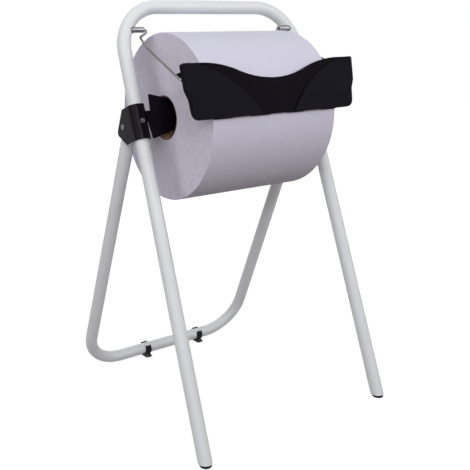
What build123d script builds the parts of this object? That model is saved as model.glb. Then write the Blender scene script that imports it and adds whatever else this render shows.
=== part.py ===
from build123d import *
from math import cos, hypot, radians, sin, tan
import os

os.makedirs("parts", exist_ok=True)

# Folding floor stand for a wide roll of industrial wiping paper.
# Lengths are in millimetres. X runs to the right as seen from the front, Y to the back, Z up.
# The origin lies on the floor, in the middle of the footprint.

# Frame tube
tube_d = 25.0
tube_wall = 1.5
front_bend_r = 85.0
rear_bend_r = 85.0

# Front frame: a leaning inverted U whose feet stand a little wider than its shoulders
top_bar_z = 768.0
side_room = 61.5
foot_splay = 11.0
front_lean = 17.75
plug_foot_d = 21.5
plug_foot_h = 6.0
plug_stem_h = 28.0
plug_edge_r = 2.5
plug_slot = 6.0

# Rear frame: a U that hangs from the two brackets and stands on its cross bar
stance = 470.0
pivot_drop = 11.0
pivot_behind = 31.5
pivot_shank_d = 6.0
pivot_head_d = 10.5
pivot_head_h = 2.4

# Floor clips on the cross bar: a band that is open at the top and front, over a flared foot
clip_wall = 2.5
clip_w = 14.0
clip_foot_l = 31.0
clip_toe_h = 2.5
clip_lift = 6.5
clip_front_angle = 38.0
clip_back_angle = 105.0
clip_shares = (-0.45, 0.86)

# Brackets: sheet bent round the front tube, with two flaps that hold the rear tube between them
sheet = 2.5
wrap_gap = 0.6
bracket_below = 22.0
bracket_above = 37.0
flap_margin = 14.5
flap_below = 23.0
flap_corner_r = 8.0
eyelet_above = 8.0
eyelet_head_d = 8.0
eyelet_head_h = 1.2
eyelet_shank_d = 4.8
eyelet_bore_d = 3.0

# Core holders: creased plates that reach into the two ends of the core
holder_sheet = 2.5
holder_in = 52.0
holder_out = 30.5
notch_high_out = 33.0
notch_low_out = 40.0
holder_rise = 6.0
holder_forward = 10.0
holder_lean = 8.0
holder_taper = 14.5
holder_crease = 7.0
holder_neck_h = 20.0
holder_tip_r = 9.0
holder_tab = 18.0
holder_rivet_d = 4.0
holder_rivet_head_d = 7.5
holder_rivet_head_h = 1.6

# Paper roll on its cardboard core
roll_r = 150.0
roll_w = 275.0
roll_edge_r = 1.5
roll_head_room = 47.0
roll_ahead = 12.0
core_bore = 76.0
core_wall = 2.0

# Arm sleeves and wire arms
sleeve_d = 10.0
sleeve_bore = 4.6
sleeve_ahead = 7.0
sleeve_drop = 41.0
sleeve_in = 42.0
sleeve_len = 28.0
wire_d = 4.0
wire_grip = 15.0
wire_bend_r = 4.0
wire_knee_r = 9.0
wire_crank_past = 14.4
wire_shoulder = (33.0, -2.5, -13.0)
wire_knee = (31.0, -26.0, -32.0)
wire_corner_out = 7.5
wire_end_in = 12.0
cap_d = 9.0
cap_h = 2.5

# Tear bar: a moulded shell that leans on the front of the roll
bar_tilt = 9.7
bar_up = 70.5
bar_down = 21.5
bar_front_gap = 5.5
bar_depth = 10.0
bar_wall = 2.4
bar_recess = 3.0
bar_end_room = 10.5
bar_waist_in = 2.0
bar_step_in = 8.5
bar_low_in = 11.5
bar_step_high = 28.0
bar_step_low = 12.0
bar_flat_in = 36.5
bar_dip = 30.0
bar_top_r = 4.0
bar_low_r = 14.0
bar_front_r = 1.2
wing_top_share = 0.934
wing_mid_share = 0.459
wing_mid_h = 33.5
wing_low_share = 0.186
rib_t = 2.0
rib_shares = (-0.7, -0.45, 0.45, 0.7)
tooth_pitch = 3.0
tooth_h = 1.2
tooth_t = 1.6
tooth_in = 19.0
ear_in = 8.0
ear_t = 4.0
ear_r = 5.5
ear_high = 46.0
ear_back = 12.5
ear_root_h = 26.0
ear_horn_up = 11.0
ear_horn_back = 16.5
ear_horn_r = 1.4

# Clearances
fixed_gap = 0.1
running_gap = 0.3
roll_end_gap = 6.0
overrun = 60.0

# Values worked out from the sizes above
roll_half = roll_w / 2
shoulder_half = roll_half + side_room
foot_half = shoulder_half + foot_splay
roll_z = top_bar_z - roll_head_room - roll_r
pivot_z = roll_z - pivot_drop
bracket_low_z = pivot_z - bracket_below
bracket_high_z = pivot_z + bracket_above
eyelet_z = pivot_z + eyelet_above
sleeve_z = top_bar_z - sleeve_drop
tube_r = tube_d / 2
tube_bore_r = tube_r - tube_wall
lean = radians(front_lean)
up_front = Vector(0, sin(lean), cos(lean))
back_front = Vector(0, cos(lean), -sin(lean))
face_front = Vector(0, -cos(lean), sin(lean))
clip_r = tube_r + fixed_gap + clip_wall
front_reach = tube_r / cos(lean) - plug_foot_h * tan(lean)
foot_y = (front_reach - stance - clip_foot_l / 2) / 2
rear_bar_y = foot_y + stance
rear_bar_z = tube_r + clip_lift


def front_axis(side, z):
    """Centre of a front leg at the height z."""
    half = foot_half + (shoulder_half - foot_half) * z / top_bar_z
    return Vector(side * half, foot_y + z * tan(lean), z)


pivot_y = front_axis(1, pivot_z).Y + pivot_behind
roll_y = pivot_y - roll_ahead
sleeve_y = front_axis(1, sleeve_z).Y - sleeve_ahead
rear_run = pivot_y - rear_bar_y
rear_rise = pivot_z - rear_bar_z
rear_len = hypot(rear_run, rear_rise)
up_rear = Vector(0, rear_run / rear_len, rear_rise / rear_len)
back_rear = Vector(0, up_rear.Z, -up_rear.Y)

# The open rear tubes bear on the front tubes with the edge of their upper ends
open_cos = up_front.dot(up_rear)
open_sin = (1 - open_cos**2) ** 0.5
rear_tail = (pivot_behind * cos(lean) - tube_r * (1 + open_cos) - running_gap) / open_sin

wrap_r = tube_r + wrap_gap
wrap_out_r = wrap_r + sheet
bracket_mid_z = (bracket_low_z + bracket_high_z) / 2
bracket_x = front_axis(1, bracket_mid_z).X
rear_half = bracket_x
core_r = core_bore / 2
core_out_r = core_r + core_wall


def save(piece, name):
    """Label a finished piece and write it to its own file."""
    piece.part.label = name
    export_step(piece.part, f"parts/{name}.step")


def disc(plane, radius):
    """A round face on a plane, centred on its origin."""
    with BuildSketch(plane) as face:
        Circle(radius)
    return face.sketch


def across(radius, y, z):
    """Take a hole of this radius out along X, right through the piece that is open."""
    hole = disc(Plane(origin=(0, y, z), x_dir=(0, 1, 0), z_dir=(1, 0, 0)), radius)
    extrude(hole, amount=foot_half + overrun, both=True, mode=Mode.SUBTRACT)


def meet(point, along, other, other_along):
    """Where two lines in a YZ plane cross, as a (y, z) pair."""
    gap = other - point
    turn = along.Y * other_along.Z - along.Z * other_along.Y
    step = (gap.Y * other_along.Z - gap.Z * other_along.Y) / turn
    spot = point + along * step
    return (spot.Y, spot.Z)


# Front frame
front_plane = Plane(origin=(0, foot_y, 0), x_dir=(1, 0, 0), z_dir=face_front)
front_h = top_bar_z / cos(lean)
front_points = (
    (-foot_half, 0),
    (-shoulder_half, front_h),
    (shoulder_half, front_h),
    (foot_half, 0),
)


def eyelet_plane(side):
    """Plane on the crest of the wrap, facing the front, where the eyelet sits."""
    centre = front_axis(side, eyelet_z)
    crest = Vector(side * bracket_x, centre.Y, centre.Z) + face_front * wrap_out_r
    return Plane(origin=crest, x_dir=(1, 0, 0), z_dir=face_front)


with BuildPart() as front_frame:
    with BuildLine(front_plane) as front_path:
        FilletPolyline(*front_points, radius=front_bend_r)
    with BuildSketch(Plane(origin=front_path.line @ 0, z_dir=front_path.line % 0)):
        Circle(tube_r)
        Circle(tube_bore_r, mode=Mode.SUBTRACT)
    sweep(path=front_path.line)
    split(bisect_by=Plane.XY.offset(plug_foot_h), keep=Keep.TOP)
    for side in (-1, 1):
        with BuildSketch(eyelet_plane(side)):
            Circle(eyelet_shank_d / 2 + fixed_gap)
        extrude(amount=-(wrap_out_r - tube_bore_r + tube_wall), mode=Mode.SUBTRACT)
save(front_frame, "front_frame")

# Rear frame
rear_plane = Plane(origin=(0, rear_bar_y, rear_bar_z), x_dir=(1, 0, 0), z_dir=(0, -up_rear.Z, up_rear.Y))
rear_points = (
    (-rear_half, rear_len + rear_tail),
    (-rear_half, 0),
    (rear_half, 0),
    (rear_half, rear_len + rear_tail),
)
with BuildPart() as rear_frame:
    with BuildLine(rear_plane) as rear_path:
        FilletPolyline(*rear_points, radius=rear_bend_r)
    with BuildSketch(Plane(origin=rear_path.line @ 0, z_dir=rear_path.line % 0)):
        Circle(tube_r)
        Circle(tube_bore_r, mode=Mode.SUBTRACT)
    sweep(path=rear_path.line)
    across(pivot_shank_d / 2 + running_gap, pivot_y, pivot_z)
save(rear_frame, "rear_frame")

# Brackets
low_point = front_axis(1, bracket_low_z)
high_point = front_axis(1, bracket_high_z)
pivot = Vector(0, pivot_y, pivot_z)
flap_rear = pivot + back_rear * flap_margin
flap_foot = pivot - up_rear * flap_below
ahead = back_front * (2 * wrap_out_r)
flap_points = (
    ((high_point - ahead).Y, (high_point - ahead).Z),
    meet(high_point, back_front, flap_rear, up_rear),
    meet(flap_rear, up_rear, flap_foot, back_rear),
    meet(flap_foot, back_rear, low_point, back_front),
    ((low_point - ahead).Y, (low_point - ahead).Z),
)
bracket_h = (bracket_high_z - bracket_low_z) / cos(lean)
flap_len = pivot_behind + flap_margin + tube_d

# Core holders hang the core on their sloping upper edges
tilt = radians(holder_lean)
holder_up = Vector(0, sin(tilt), cos(tilt))
holder_back = Vector(0, cos(tilt), -sin(tilt))
holder_at = Vector(0, roll_y - holder_forward, roll_z + holder_rise)
seat_half = (core_r - running_gap - holder_rise) / cos(tilt)
slope = tan(radians(holder_taper))
holder_tip_x = roll_half - holder_in
holder_near_x = roll_half + holder_out
tip_half = seat_half - holder_in * slope
near_half = seat_half + holder_out * slope
tab_x = bracket_x - wrap_out_r
holder_rivet_at = holder_at + holder_back * (holder_tab / 2)


def holder_section(x):
    """Plane across the holder at x, with its axes to the back and up along the plate."""
    return Plane(origin=(x, holder_at.Y, holder_at.Z), x_dir=holder_back, z_dir=(1, 0, 0))


for side, name in ((-1, "left"), (1, "right")):
    bracket_origin = (side * bracket_x, low_point.Y, low_point.Z)
    with BuildPart() as bracket:
        with BuildSketch(Plane(origin=bracket_origin, x_dir=(1, 0, 0), z_dir=up_front)):
            Circle(wrap_out_r)
            with Locations((0, flap_len / 2)):
                Rectangle(2 * wrap_out_r, flap_len)
            Circle(wrap_r, mode=Mode.SUBTRACT)
            with Locations((0, flap_len / 2)):
                Rectangle(2 * wrap_r, flap_len, mode=Mode.SUBTRACT)
        extrude(amount=bracket_h)
        with BuildSketch(Plane.YZ) as flap_outline:
            with BuildLine():
                Polyline(*flap_points, close=True)
            make_face()
            corners = flap_outline.vertices().sort_by(Axis.X)
            fillet(corners[-1], flap_corner_r)
        extrude(amount=foot_half + overrun, both=True, mode=Mode.INTERSECT)
        across(pivot_shank_d / 2 + fixed_gap, pivot_y, pivot_z)
        across(holder_rivet_d / 2 + fixed_gap, holder_rivet_at.Y, holder_rivet_at.Z)
        with BuildSketch(eyelet_plane(side)):
            Circle(eyelet_shank_d / 2 + fixed_gap)
        extrude(amount=-(sheet + wrap_gap + tube_wall), mode=Mode.SUBTRACT)
    save(bracket, f"{name}_bracket")

    with BuildPart() as holder:
        with BuildSketch(holder_section(side * holder_tip_x)):
            with BuildLine():
                Polyline(
                    (0, 0),
                    (holder_crease, near_half),
                    (holder_crease + holder_sheet, near_half),
                    (holder_sheet, 0),
                    (holder_crease + holder_sheet, -near_half),
                    (holder_crease, -near_half),
                    close=True,
                )
            make_face()
        extrude(amount=side * (tab_x - holder_tip_x))
        with BuildSketch(Plane(origin=holder_at, x_dir=(1, 0, 0), z_dir=-holder_back)) as holder_outline:
            with BuildLine():
                Polyline(
                    (side * holder_tip_x, tip_half),
                    (side * holder_near_x, near_half),
                    (side * (roll_half + notch_high_out), holder_neck_h / 2),
                    (side * tab_x, holder_neck_h / 2),
                    (side * tab_x, -holder_neck_h / 2),
                    (side * (roll_half + notch_low_out), -holder_neck_h / 2),
                    (side * holder_near_x, -near_half),
                    (side * holder_tip_x, -tip_half),
                    close=True,
                )
            make_face()
            tips = holder_outline.vertices().sort_by(Axis.X)
            fillet(tips[-2:] if side < 0 else tips[:2], holder_tip_r)
        extrude(amount=near_half, both=True, mode=Mode.INTERSECT)
        with BuildSketch(holder_section(side * tab_x)):
            with Locations((holder_tab / 2, 0)):
                Rectangle(holder_tab, holder_neck_h)
        extrude(amount=-side * holder_sheet)
        across(holder_rivet_d / 2 + fixed_gap, holder_rivet_at.Y, holder_rivet_at.Z)
    save(holder, f"{name}_core_holder")


def rivet(base, head, shank, tail, grip, bore=0.0):
    """A rivet in the open part: head and tail are (radius, height), and base is the seat of the head."""
    extrude(disc(base, head[0]), amount=head[1])
    extrude(disc(base, shank), amount=-grip)
    extrude(disc(base.offset(-grip), tail[0]), amount=-tail[1])
    if bore:
        extrude(disc(base.offset(head[1]), bore), amount=-(head[1] + grip + tail[1]), mode=Mode.SUBTRACT)


# Eyelets that hold the wraps to the front tube
eyelet_tail_r = (eyelet_head_d - eyelet_head_h) / 2
eyelet_sag = tube_bore_r - (tube_bore_r**2 - eyelet_tail_r**2) ** 0.5
eyelet_grip = sheet + wrap_gap + tube_wall + eyelet_sag
with BuildPart() as bracket_eyelets:
    for side in (-1, 1):
        rivet(
            eyelet_plane(side),
            (eyelet_head_d / 2, eyelet_head_h),
            eyelet_shank_d / 2,
            (eyelet_tail_r, eyelet_head_h),
            eyelet_grip,
            eyelet_bore_d / 2,
        )
save(bracket_eyelets, "bracket_eyelets")

# Pivot rivets, through both flaps and the rear tube
with BuildPart() as pivot_rivets:
    for side in (-1, 1):
        seat = Plane(
            origin=(side * (bracket_x + wrap_out_r), pivot_y, pivot_z), x_dir=(0, 1, 0), z_dir=(side, 0, 0)
        )
        rivet(
            seat,
            (pivot_head_d / 2, pivot_head_h),
            pivot_shank_d / 2,
            (pivot_head_d / 2, pivot_head_h / 2),
            2 * wrap_out_r,
        )
save(pivot_rivets, "pivot_rivets")

# Small rivets that hold the tabs of the core holders to the inner flaps
with BuildPart() as holder_rivets:
    for side in (-1, 1):
        seat = Plane(
            origin=(side * (tab_x - holder_sheet), holder_rivet_at.Y, holder_rivet_at.Z),
            x_dir=(0, 1, 0),
            z_dir=(-side, 0, 0),
        )
        rivet(
            seat,
            (holder_rivet_head_d / 2, holder_rivet_head_h),
            holder_rivet_d / 2,
            (holder_rivet_head_d / 2 - holder_rivet_head_h / 2, holder_rivet_head_h / 2),
            holder_sheet + sheet,
        )
save(holder_rivets, "holder_rivets")

# Foot plugs: a foot cut level with the floor and a slotted stem up the tube
for side, name in ((-1, "left"), (1, "right")):
    foot = front_axis(side, 0)
    leg_dir = (front_axis(side, top_bar_z) - foot).normalized()
    leg_plane = Plane(origin=foot, x_dir=(1, 0, 0), z_dir=leg_dir)
    with BuildPart() as plug:
        with BuildSketch(leg_plane.offset(-tube_r)):
            Circle(plug_foot_d / 2)
        extrude(amount=tube_d + plug_foot_h)
        split(bisect_by=Plane.XY, keep=Keep.TOP)
        split(bisect_by=Plane.XY.offset(plug_foot_h), keep=Keep.BOTTOM)
        fillet(plug.edges().group_by(Axis.Z)[0], plug_edge_r)
        with BuildSketch(leg_plane):
            Circle(tube_bore_r - fixed_gap)
        extrude(amount=plug_foot_h / cos(lean) + plug_stem_h)
        split(bisect_by=Plane.XY, keep=Keep.TOP)
        with BuildSketch(leg_plane.offset(plug_foot_h / cos(lean) + plug_stem_h)):
            Rectangle(plug_slot, tube_d)
        extrude(amount=-(plug_stem_h - plug_slot), mode=Mode.SUBTRACT)
    save(plug, f"{name}_foot_plug")

# Floor clips on the straight part of the cross bar
clip_reach = rear_half - rear_bend_r - clip_w / 2


def clip_ray(angle):
    """A point outside the band, at an angle up from its front, as a (y, z) pair."""
    turn = radians(angle)
    return (rear_bar_y - 2 * clip_r * cos(turn), rear_bar_z + 2 * clip_r * sin(turn))


for share, name in zip(clip_shares, ("left", "right")):
    with BuildPart() as clip:
        with BuildSketch(Plane.YZ.offset(share * clip_reach - clip_w / 2)):
            with Locations((rear_bar_y, rear_bar_z)):
                Circle(clip_r)
            with BuildLine():
                Polyline(
                    (rear_bar_y - clip_foot_l / 2, 0),
                    (rear_bar_y + clip_foot_l / 2, 0),
                    (rear_bar_y + clip_foot_l / 2, clip_toe_h),
                    (rear_bar_y + clip_r / 2, clip_lift),
                    (rear_bar_y - clip_r / 2, clip_lift),
                    (rear_bar_y - clip_foot_l / 2, clip_toe_h),
                    close=True,
                )
            make_face()
            with Locations((rear_bar_y, rear_bar_z)):
                Circle(tube_r + fixed_gap, mode=Mode.SUBTRACT)
            with BuildLine():
                Polyline(
                    (rear_bar_y, rear_bar_z),
                    clip_ray(clip_front_angle),
                    clip_ray((clip_front_angle + clip_back_angle) / 2),
                    clip_ray(clip_back_angle),
                    close=True,
                )
            make_face(mode=Mode.SUBTRACT)
        extrude(amount=clip_w)
    save(clip, f"{name}_floor_clip")

# Arm sleeves, coped to the front tube where it bends
with BuildPart() as tube_space:
    with BuildLine(front_plane) as space_path:
        FilletPolyline(*front_points, radius=front_bend_r)
    with BuildSketch(Plane(origin=space_path.line @ 0, z_dir=space_path.line % 0)):
        Circle(tube_r + fixed_gap)
    sweep(path=space_path.line)

for side, name in ((-1, "left"), (1, "right")):
    sleeve_end = (side * (shoulder_half - sleeve_in), sleeve_y, sleeve_z)
    sleeve_plane = Plane(origin=sleeve_end, x_dir=(0, 1, 0), z_dir=(side, 0, 0))
    with BuildPart() as sleeve:
        with BuildSketch(sleeve_plane):
            Circle(sleeve_d / 2)
            Circle(sleeve_bore / 2, mode=Mode.SUBTRACT)
        extrude(amount=sleeve_len)
        add(tube_space.part, mode=Mode.SUBTRACT)
    save(sleeve, f"{name}_arm_sleeve")

# Tear bar frame: its front plane stands off the roll, tangent to it, and leans back at the top
bar_angle = radians(bar_tilt)
bar_out = Vector(0, -cos(bar_angle), sin(bar_angle))
bar_rise = Vector(0, sin(bar_angle), cos(bar_angle))
bar_stand = roll_r + running_gap + bar_front_gap
bar_at = Vector(0, roll_y, roll_z) + bar_out * bar_stand
bar_plane = Plane(origin=bar_at, x_dir=(1, 0, 0), z_dir=bar_out)
bar_hinge = bar_at + bar_rise * ear_high - bar_out * ear_back
bar_top_half = shoulder_half - bar_end_room
bar_low_half = bar_top_half - bar_low_in
ear_x = bar_top_half - ear_in
wire_corner_x = ear_x + wire_corner_out
wire_end_x = ear_x - wire_end_in

# Wire arms: each turns in its sleeve, cranks outward, and ends in an ear behind the tear bar
sleeve_at = Vector(0, sleeve_y, sleeve_z)


def wire_points(side):
    """Corners of a wire from its end in the sleeve to its end in the ear."""
    sleeve_end_x = shoulder_half - sleeve_in
    points = [
        sleeve_at + Vector(side * (sleeve_end_x + wire_grip), 0, 0),
        sleeve_at + Vector(side * (sleeve_end_x - wire_crank_past), 0, 0),
    ]
    for corner in (wire_shoulder, wire_knee):
        points.append(sleeve_at + Vector(side * (shoulder_half - corner[0]), corner[1], corner[2]))
    points.append(bar_hinge + Vector(side * wire_corner_x, 0, 0))
    points.append(bar_hinge + Vector(side * wire_end_x, 0, 0))
    return points


wire_radii = (wire_bend_r, wire_bend_r, wire_knee_r, wire_bend_r)
for side, name in ((-1, "left"), (1, "right")):
    with BuildPart() as wire:
        with BuildLine() as wire_path:
            FilletPolyline(*wire_points(side), radius=wire_radii)
        with BuildSketch(Plane(origin=wire_path.line @ 0, z_dir=wire_path.line % 0)):
            Circle(wire_d / 2)
        sweep(path=wire_path.line)
    save(wire, f"{name}_wire_arm")

# Push-on caps that keep the wires in the ears
with BuildPart() as arm_caps:
    for side in (-1, 1):
        cap_at = bar_hinge + Vector(side * (wire_end_x - cap_h / 2), 0, 0)
        cap_plane = Plane(origin=cap_at, x_dir=(0, 1, 0), z_dir=(side, 0, 0))
        extrude(disc(cap_plane, cap_d / 2), amount=cap_h)
        extrude(disc(cap_plane.offset(cap_h / 2), wire_d / 2 + fixed_gap), amount=cap_h, mode=Mode.SUBTRACT)
save(arm_caps, "arm_caps")

# Cardboard core and the paper wound on it
core_plane = Plane(origin=(-roll_half, roll_y, roll_z), x_dir=(0, 1, 0), z_dir=(1, 0, 0))
with BuildPart() as roll_core:
    with BuildSketch(core_plane):
        Circle(core_out_r)
        Circle(core_r, mode=Mode.SUBTRACT)
    extrude(amount=roll_w)
save(roll_core, "roll_core")

with BuildPart() as paper_roll:
    with BuildSketch(core_plane):
        Circle(roll_r)
        Circle(core_out_r + fixed_gap, mode=Mode.SUBTRACT)
    extrude(amount=roll_w)
    rims = paper_roll.edges().filter_by(GeomType.CIRCLE).sort_by(lambda rim: rim.radius)[-2:]
    fillet(rims, roll_edge_r)
save(paper_roll, "paper_roll")

# Tear bar
bar_flat_half = bar_top_half - bar_flat_in
top_mid = (bar_flat_half / 2, bar_up - bar_dip / 2)
with BuildPart() as bar_blank:
    with BuildSketch() as bar_outline:
        with BuildLine() as half_edge:
            floor_line = Line((0, -bar_down), (bar_low_half - bar_low_r, -bar_down))
            low_turn = TangentArc(
                floor_line @ 1, (bar_low_half, -bar_down + bar_low_r), tangent=floor_line % 1
            )
            low_side = Line(low_turn @ 1, (bar_top_half - bar_step_in, bar_step_low))
            step = Line(low_side @ 1, (bar_top_half - bar_waist_in, bar_step_high))
            high_side = Line(step @ 1, (bar_top_half, bar_up - bar_top_r))
            top_turn = TangentArc(
                high_side @ 1, (bar_top_half - bar_top_r, bar_up), tangent=high_side % 1
            )
            flat = Line(top_turn @ 1, (bar_flat_half, bar_up))
            fall = TangentArc(flat @ 1, top_mid, tangent=flat % 1)
            TangentArc(fall @ 1, (0, bar_up - bar_dip), tangent=fall % 1)
            mirror(about=Plane.YZ)
        make_face()
    extrude(amount=-bar_depth)
    fillet(bar_blank.edges().group_by(Axis.Z)[-1], bar_front_r)

with BuildPart() as tear_bar:
    add(bar_plane.from_local_coords(bar_blank.part))
    # The middle of the face lies lower than the two wings, between arcs that open upward
    with BuildSketch(bar_plane) as recess:
        with BuildLine():
            wing = ThreePointArc(
                (wing_top_share * bar_top_half, bar_up),
                (wing_mid_share * bar_top_half, wing_mid_h),
                (wing_low_share * bar_top_half, -bar_down),
            )
            Line(wing @ 1, (0, -bar_down))
            Line((0, bar_up), wing @ 0)
            mirror(about=Plane.YZ)
        make_face()
    extrude(amount=-bar_recess, mode=Mode.SUBTRACT)
    # The back is hollow, with a wall round the edge and upright ribs
    with BuildSketch(bar_plane.offset(-(bar_recess + bar_wall))):
        add(bar_outline.sketch_local)
        offset(amount=-bar_wall, mode=Mode.REPLACE)
        for share in rib_shares:
            with Locations((share * bar_top_half, 0)):
                Rectangle(rib_t, 2 * bar_up + 2 * bar_down, mode=Mode.SUBTRACT)
    extrude(amount=-bar_depth, mode=Mode.SUBTRACT)
    # Teeth under the back of the lower edge
    tooth_count = int(2 * (bar_low_half - tooth_in) / tooth_pitch)
    tooth_half = tooth_count * tooth_pitch / 2
    tooth_points = [(-tooth_half, 0)]
    for tooth in range(tooth_count):
        start = tooth * tooth_pitch - tooth_half
        tooth_points.append((start + tooth_pitch / 2, -tooth_h))
        tooth_points.append((start + tooth_pitch, 0))
    tooth_points += [(tooth_half, bar_wall / 2), (-tooth_half, bar_wall / 2)]
    tooth_origin = bar_at - bar_rise * bar_down - bar_out * bar_front_gap
    with BuildSketch(Plane(origin=tooth_origin, x_dir=(1, 0, 0), z_dir=bar_out)):
        with BuildLine():
            Polyline(*tooth_points, close=True)
        make_face()
    extrude(amount=tooth_t)
    # Ears behind the ends, with the holes that the wires turn in and a horn behind each wire
    for side in (-1, 1):
        ear_plane = Plane(
            origin=bar_at + Vector(side * ear_x - ear_t / 2, 0, 0), x_dir=-bar_out, z_dir=(1, 0, 0)
        )
        with BuildSketch(ear_plane) as ear:
            with BuildLine():
                CenterArc((ear_back, ear_high), ear_r, 0, 360)
                CenterArc((ear_back + ear_horn_back, ear_high + ear_horn_up), ear_horn_r, 0, 360)
                Line((bar_wall, ear_high - ear_root_h / 2), (bar_wall, ear_high + ear_root_h / 2))
            make_hull()
        extrude(amount=ear_t)
        hole_plane = Plane(origin=bar_hinge + Vector(side * ear_x, 0, 0), x_dir=(0, 1, 0), z_dir=(1, 0, 0))
        extrude(disc(hole_plane, wire_d / 2 + running_gap), amount=ear_t, both=True, mode=Mode.SUBTRACT)
    # The back follows the roll between its ends
    behind = disc(core_plane.offset(-roll_end_gap), roll_r + running_gap)
    extrude(behind, amount=roll_w + 2 * roll_end_gap, mode=Mode.SUBTRACT)
save(tear_bar, "tear_bar")
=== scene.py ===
"""Folding floor stand with a wide roll of wiping paper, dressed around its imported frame.

Lengths are in metres. X runs to the right as seen from the front, Y to the back, Z up,
and the origin lies on the floor in the middle of the footprint.
"""

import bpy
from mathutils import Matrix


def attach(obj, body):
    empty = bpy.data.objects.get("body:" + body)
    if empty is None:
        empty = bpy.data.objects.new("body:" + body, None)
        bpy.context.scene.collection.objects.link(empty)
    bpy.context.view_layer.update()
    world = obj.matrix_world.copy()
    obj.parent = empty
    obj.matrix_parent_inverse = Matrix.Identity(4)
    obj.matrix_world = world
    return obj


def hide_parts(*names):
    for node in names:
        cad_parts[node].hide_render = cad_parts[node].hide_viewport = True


bl_info = {
    "name": "Paper roll stand",
    "version": (1, 0, 0),
    "blender": (4, 5, 0),
    "location": "3D View > Sidebar > Roll Stand",
    "description": "Builds the visible pieces of a folding stand for a wide paper roll",
    "category": "Add Mesh",
}

import math
import random

import bmesh
import bpy
from mathutils import Matrix, Vector

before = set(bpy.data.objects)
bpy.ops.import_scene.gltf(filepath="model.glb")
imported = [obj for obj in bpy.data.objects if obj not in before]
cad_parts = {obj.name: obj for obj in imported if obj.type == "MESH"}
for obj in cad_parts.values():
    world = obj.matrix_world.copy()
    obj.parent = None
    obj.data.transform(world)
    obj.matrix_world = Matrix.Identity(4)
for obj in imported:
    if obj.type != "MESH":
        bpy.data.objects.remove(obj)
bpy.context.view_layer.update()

MM = 0.001
CLOSE = 1e-6
SIDES = (-1, 1)
X_AXIS = Vector((1, 0, 0))
Y_AXIS = Vector((0, 1, 0))
Z_AXIS = Vector((0, 0, 1))


def mm(*lengths):
    """Lengths, or groups of lengths, given in millimetres."""
    return [mm(*item) if isinstance(item, tuple) else item * MM for item in lengths]


# Lines of the stand, as the frame has them
TUBE_R = 12.5 * MM
TUBE_BEND = 85 * MM
LEAN = math.radians(17.75)
TOP_Z = 768 * MM
SHOULDER_X = 199 * MM
FOOT_X = 210 * MM
FOOT_Y = -237.148 * MM
FOOT_CUT_Z = 6 * MM
REAR_BAR_Y = 232.852 * MM
REAR_BAR_Z = 19 * MM
PIVOT = Vector((0, -26.390 * MM, 560 * MM))
PIVOT_BEHIND = 31.5 * MM
BRACKET_X = 201.872 * MM
WRAP_R = 13.1 * MM
SHEET = 2.5 * MM
EYELET_Z = 568 * MM
EYELET_HOLE_R = 2.5 * MM
ROLL = Vector((0, -38.390 * MM, 571 * MM))
SLEEVE = Vector((0, -11.433 * MM, 727 * MM))
WIRE_BORE_R = 2.3 * MM
UP_FRONT = Vector((0, math.sin(LEAN), math.cos(LEAN)))
BACK_FRONT = Vector((0, math.cos(LEAN), -math.sin(LEAN)))
UP_REAR = (PIVOT - Vector((0, REAR_BAR_Y, REAR_BAR_Z))).normalized()
BACK_REAR = Vector((0, UP_REAR.z, -UP_REAR.y))
HOLDER_TILT = math.radians(8)
HOLDER_AT = Vector((0, -48.390 * MM, 577 * MM))
HOLDER_UP = Vector((0, math.sin(HOLDER_TILT), math.cos(HOLDER_TILT)))
HOLDER_BACK = Vector((0, math.cos(HOLDER_TILT), -math.sin(HOLDER_TILT)))
HOLDER_RIVET_BACK = 9 * MM
BAR_TILT = math.radians(9.7)
BAR_OUT = Vector((0, -math.cos(BAR_TILT), math.sin(BAR_TILT)))
BAR_RISE = Vector((0, math.sin(BAR_TILT), math.cos(BAR_TILT)))
BAR_AT = ROLL + BAR_OUT * (155.8 * MM)
BAR_HINGE = BAR_AT + BAR_RISE * (46 * MM) - BAR_OUT * (12.5 * MM)
BAR_HALF = 188.5 * MM
BAR_TOP = 70.5 * MM
BAR_LOW = -21.5 * MM
# Right half of the bar's outline, from the middle of its lower edge: across and up its face
BAR_OUTLINE = mm((0, -21.5), (177, -21.5), (180, 12), (186.5, 28), (188.5, 70.5), (152, 70.5))


def linear(*screen):
    """A colour given in screen values of 0 to 255, as the linear values that shaders take."""
    return tuple(((c / 255 + 0.055) / 1.055) ** 2.4 if c > 10 else c / 255 / 12.92 for c in screen)


def scaled(rgb, *factors):
    """A colour times one factor, or times one factor for each of its parts."""
    return tuple(c * f for c, f in zip(rgb, factors if len(factors) == 3 else factors * 3))


def solid(rgb):
    """A colour with full alpha."""
    return (*rgb, 1.0)


# Values that a user may change


def size(name, description, millimetres):
    """A length."""
    return bpy.props.FloatProperty(
        name=name, description=description, default=millimetres * MM, min=0, max=1,
        subtype="DISTANCE", unit="LENGTH", precision=4,
    )


def count(name, description, default):
    """A number of sides or steps."""
    return bpy.props.IntProperty(
        name=name, description=description, default=default, min=3, max=512,
    )


def colour(name, description, *screen):
    """A colour, given in screen values."""
    return bpy.props.FloatVectorProperty(
        name=name, description=description, default=linear(*screen), min=0, max=1,
        subtype="COLOR", size=3,
    )


def share(name, description, default, most=1.0):
    """A proportion."""
    return bpy.props.FloatProperty(
        name=name, description=description, default=default, min=0, max=most, subtype="FACTOR",
    )


def power(name, description, default):
    """The power of a lamp."""
    return bpy.props.FloatProperty(
        name=name, description=description, default=default, min=0, unit="POWER",
    )


def angle(name, description, degrees):
    """An angle."""
    return bpy.props.FloatProperty(
        name=name, description=description, default=math.radians(degrees),
        subtype="ANGLE", unit="ROTATION",
    )


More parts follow.
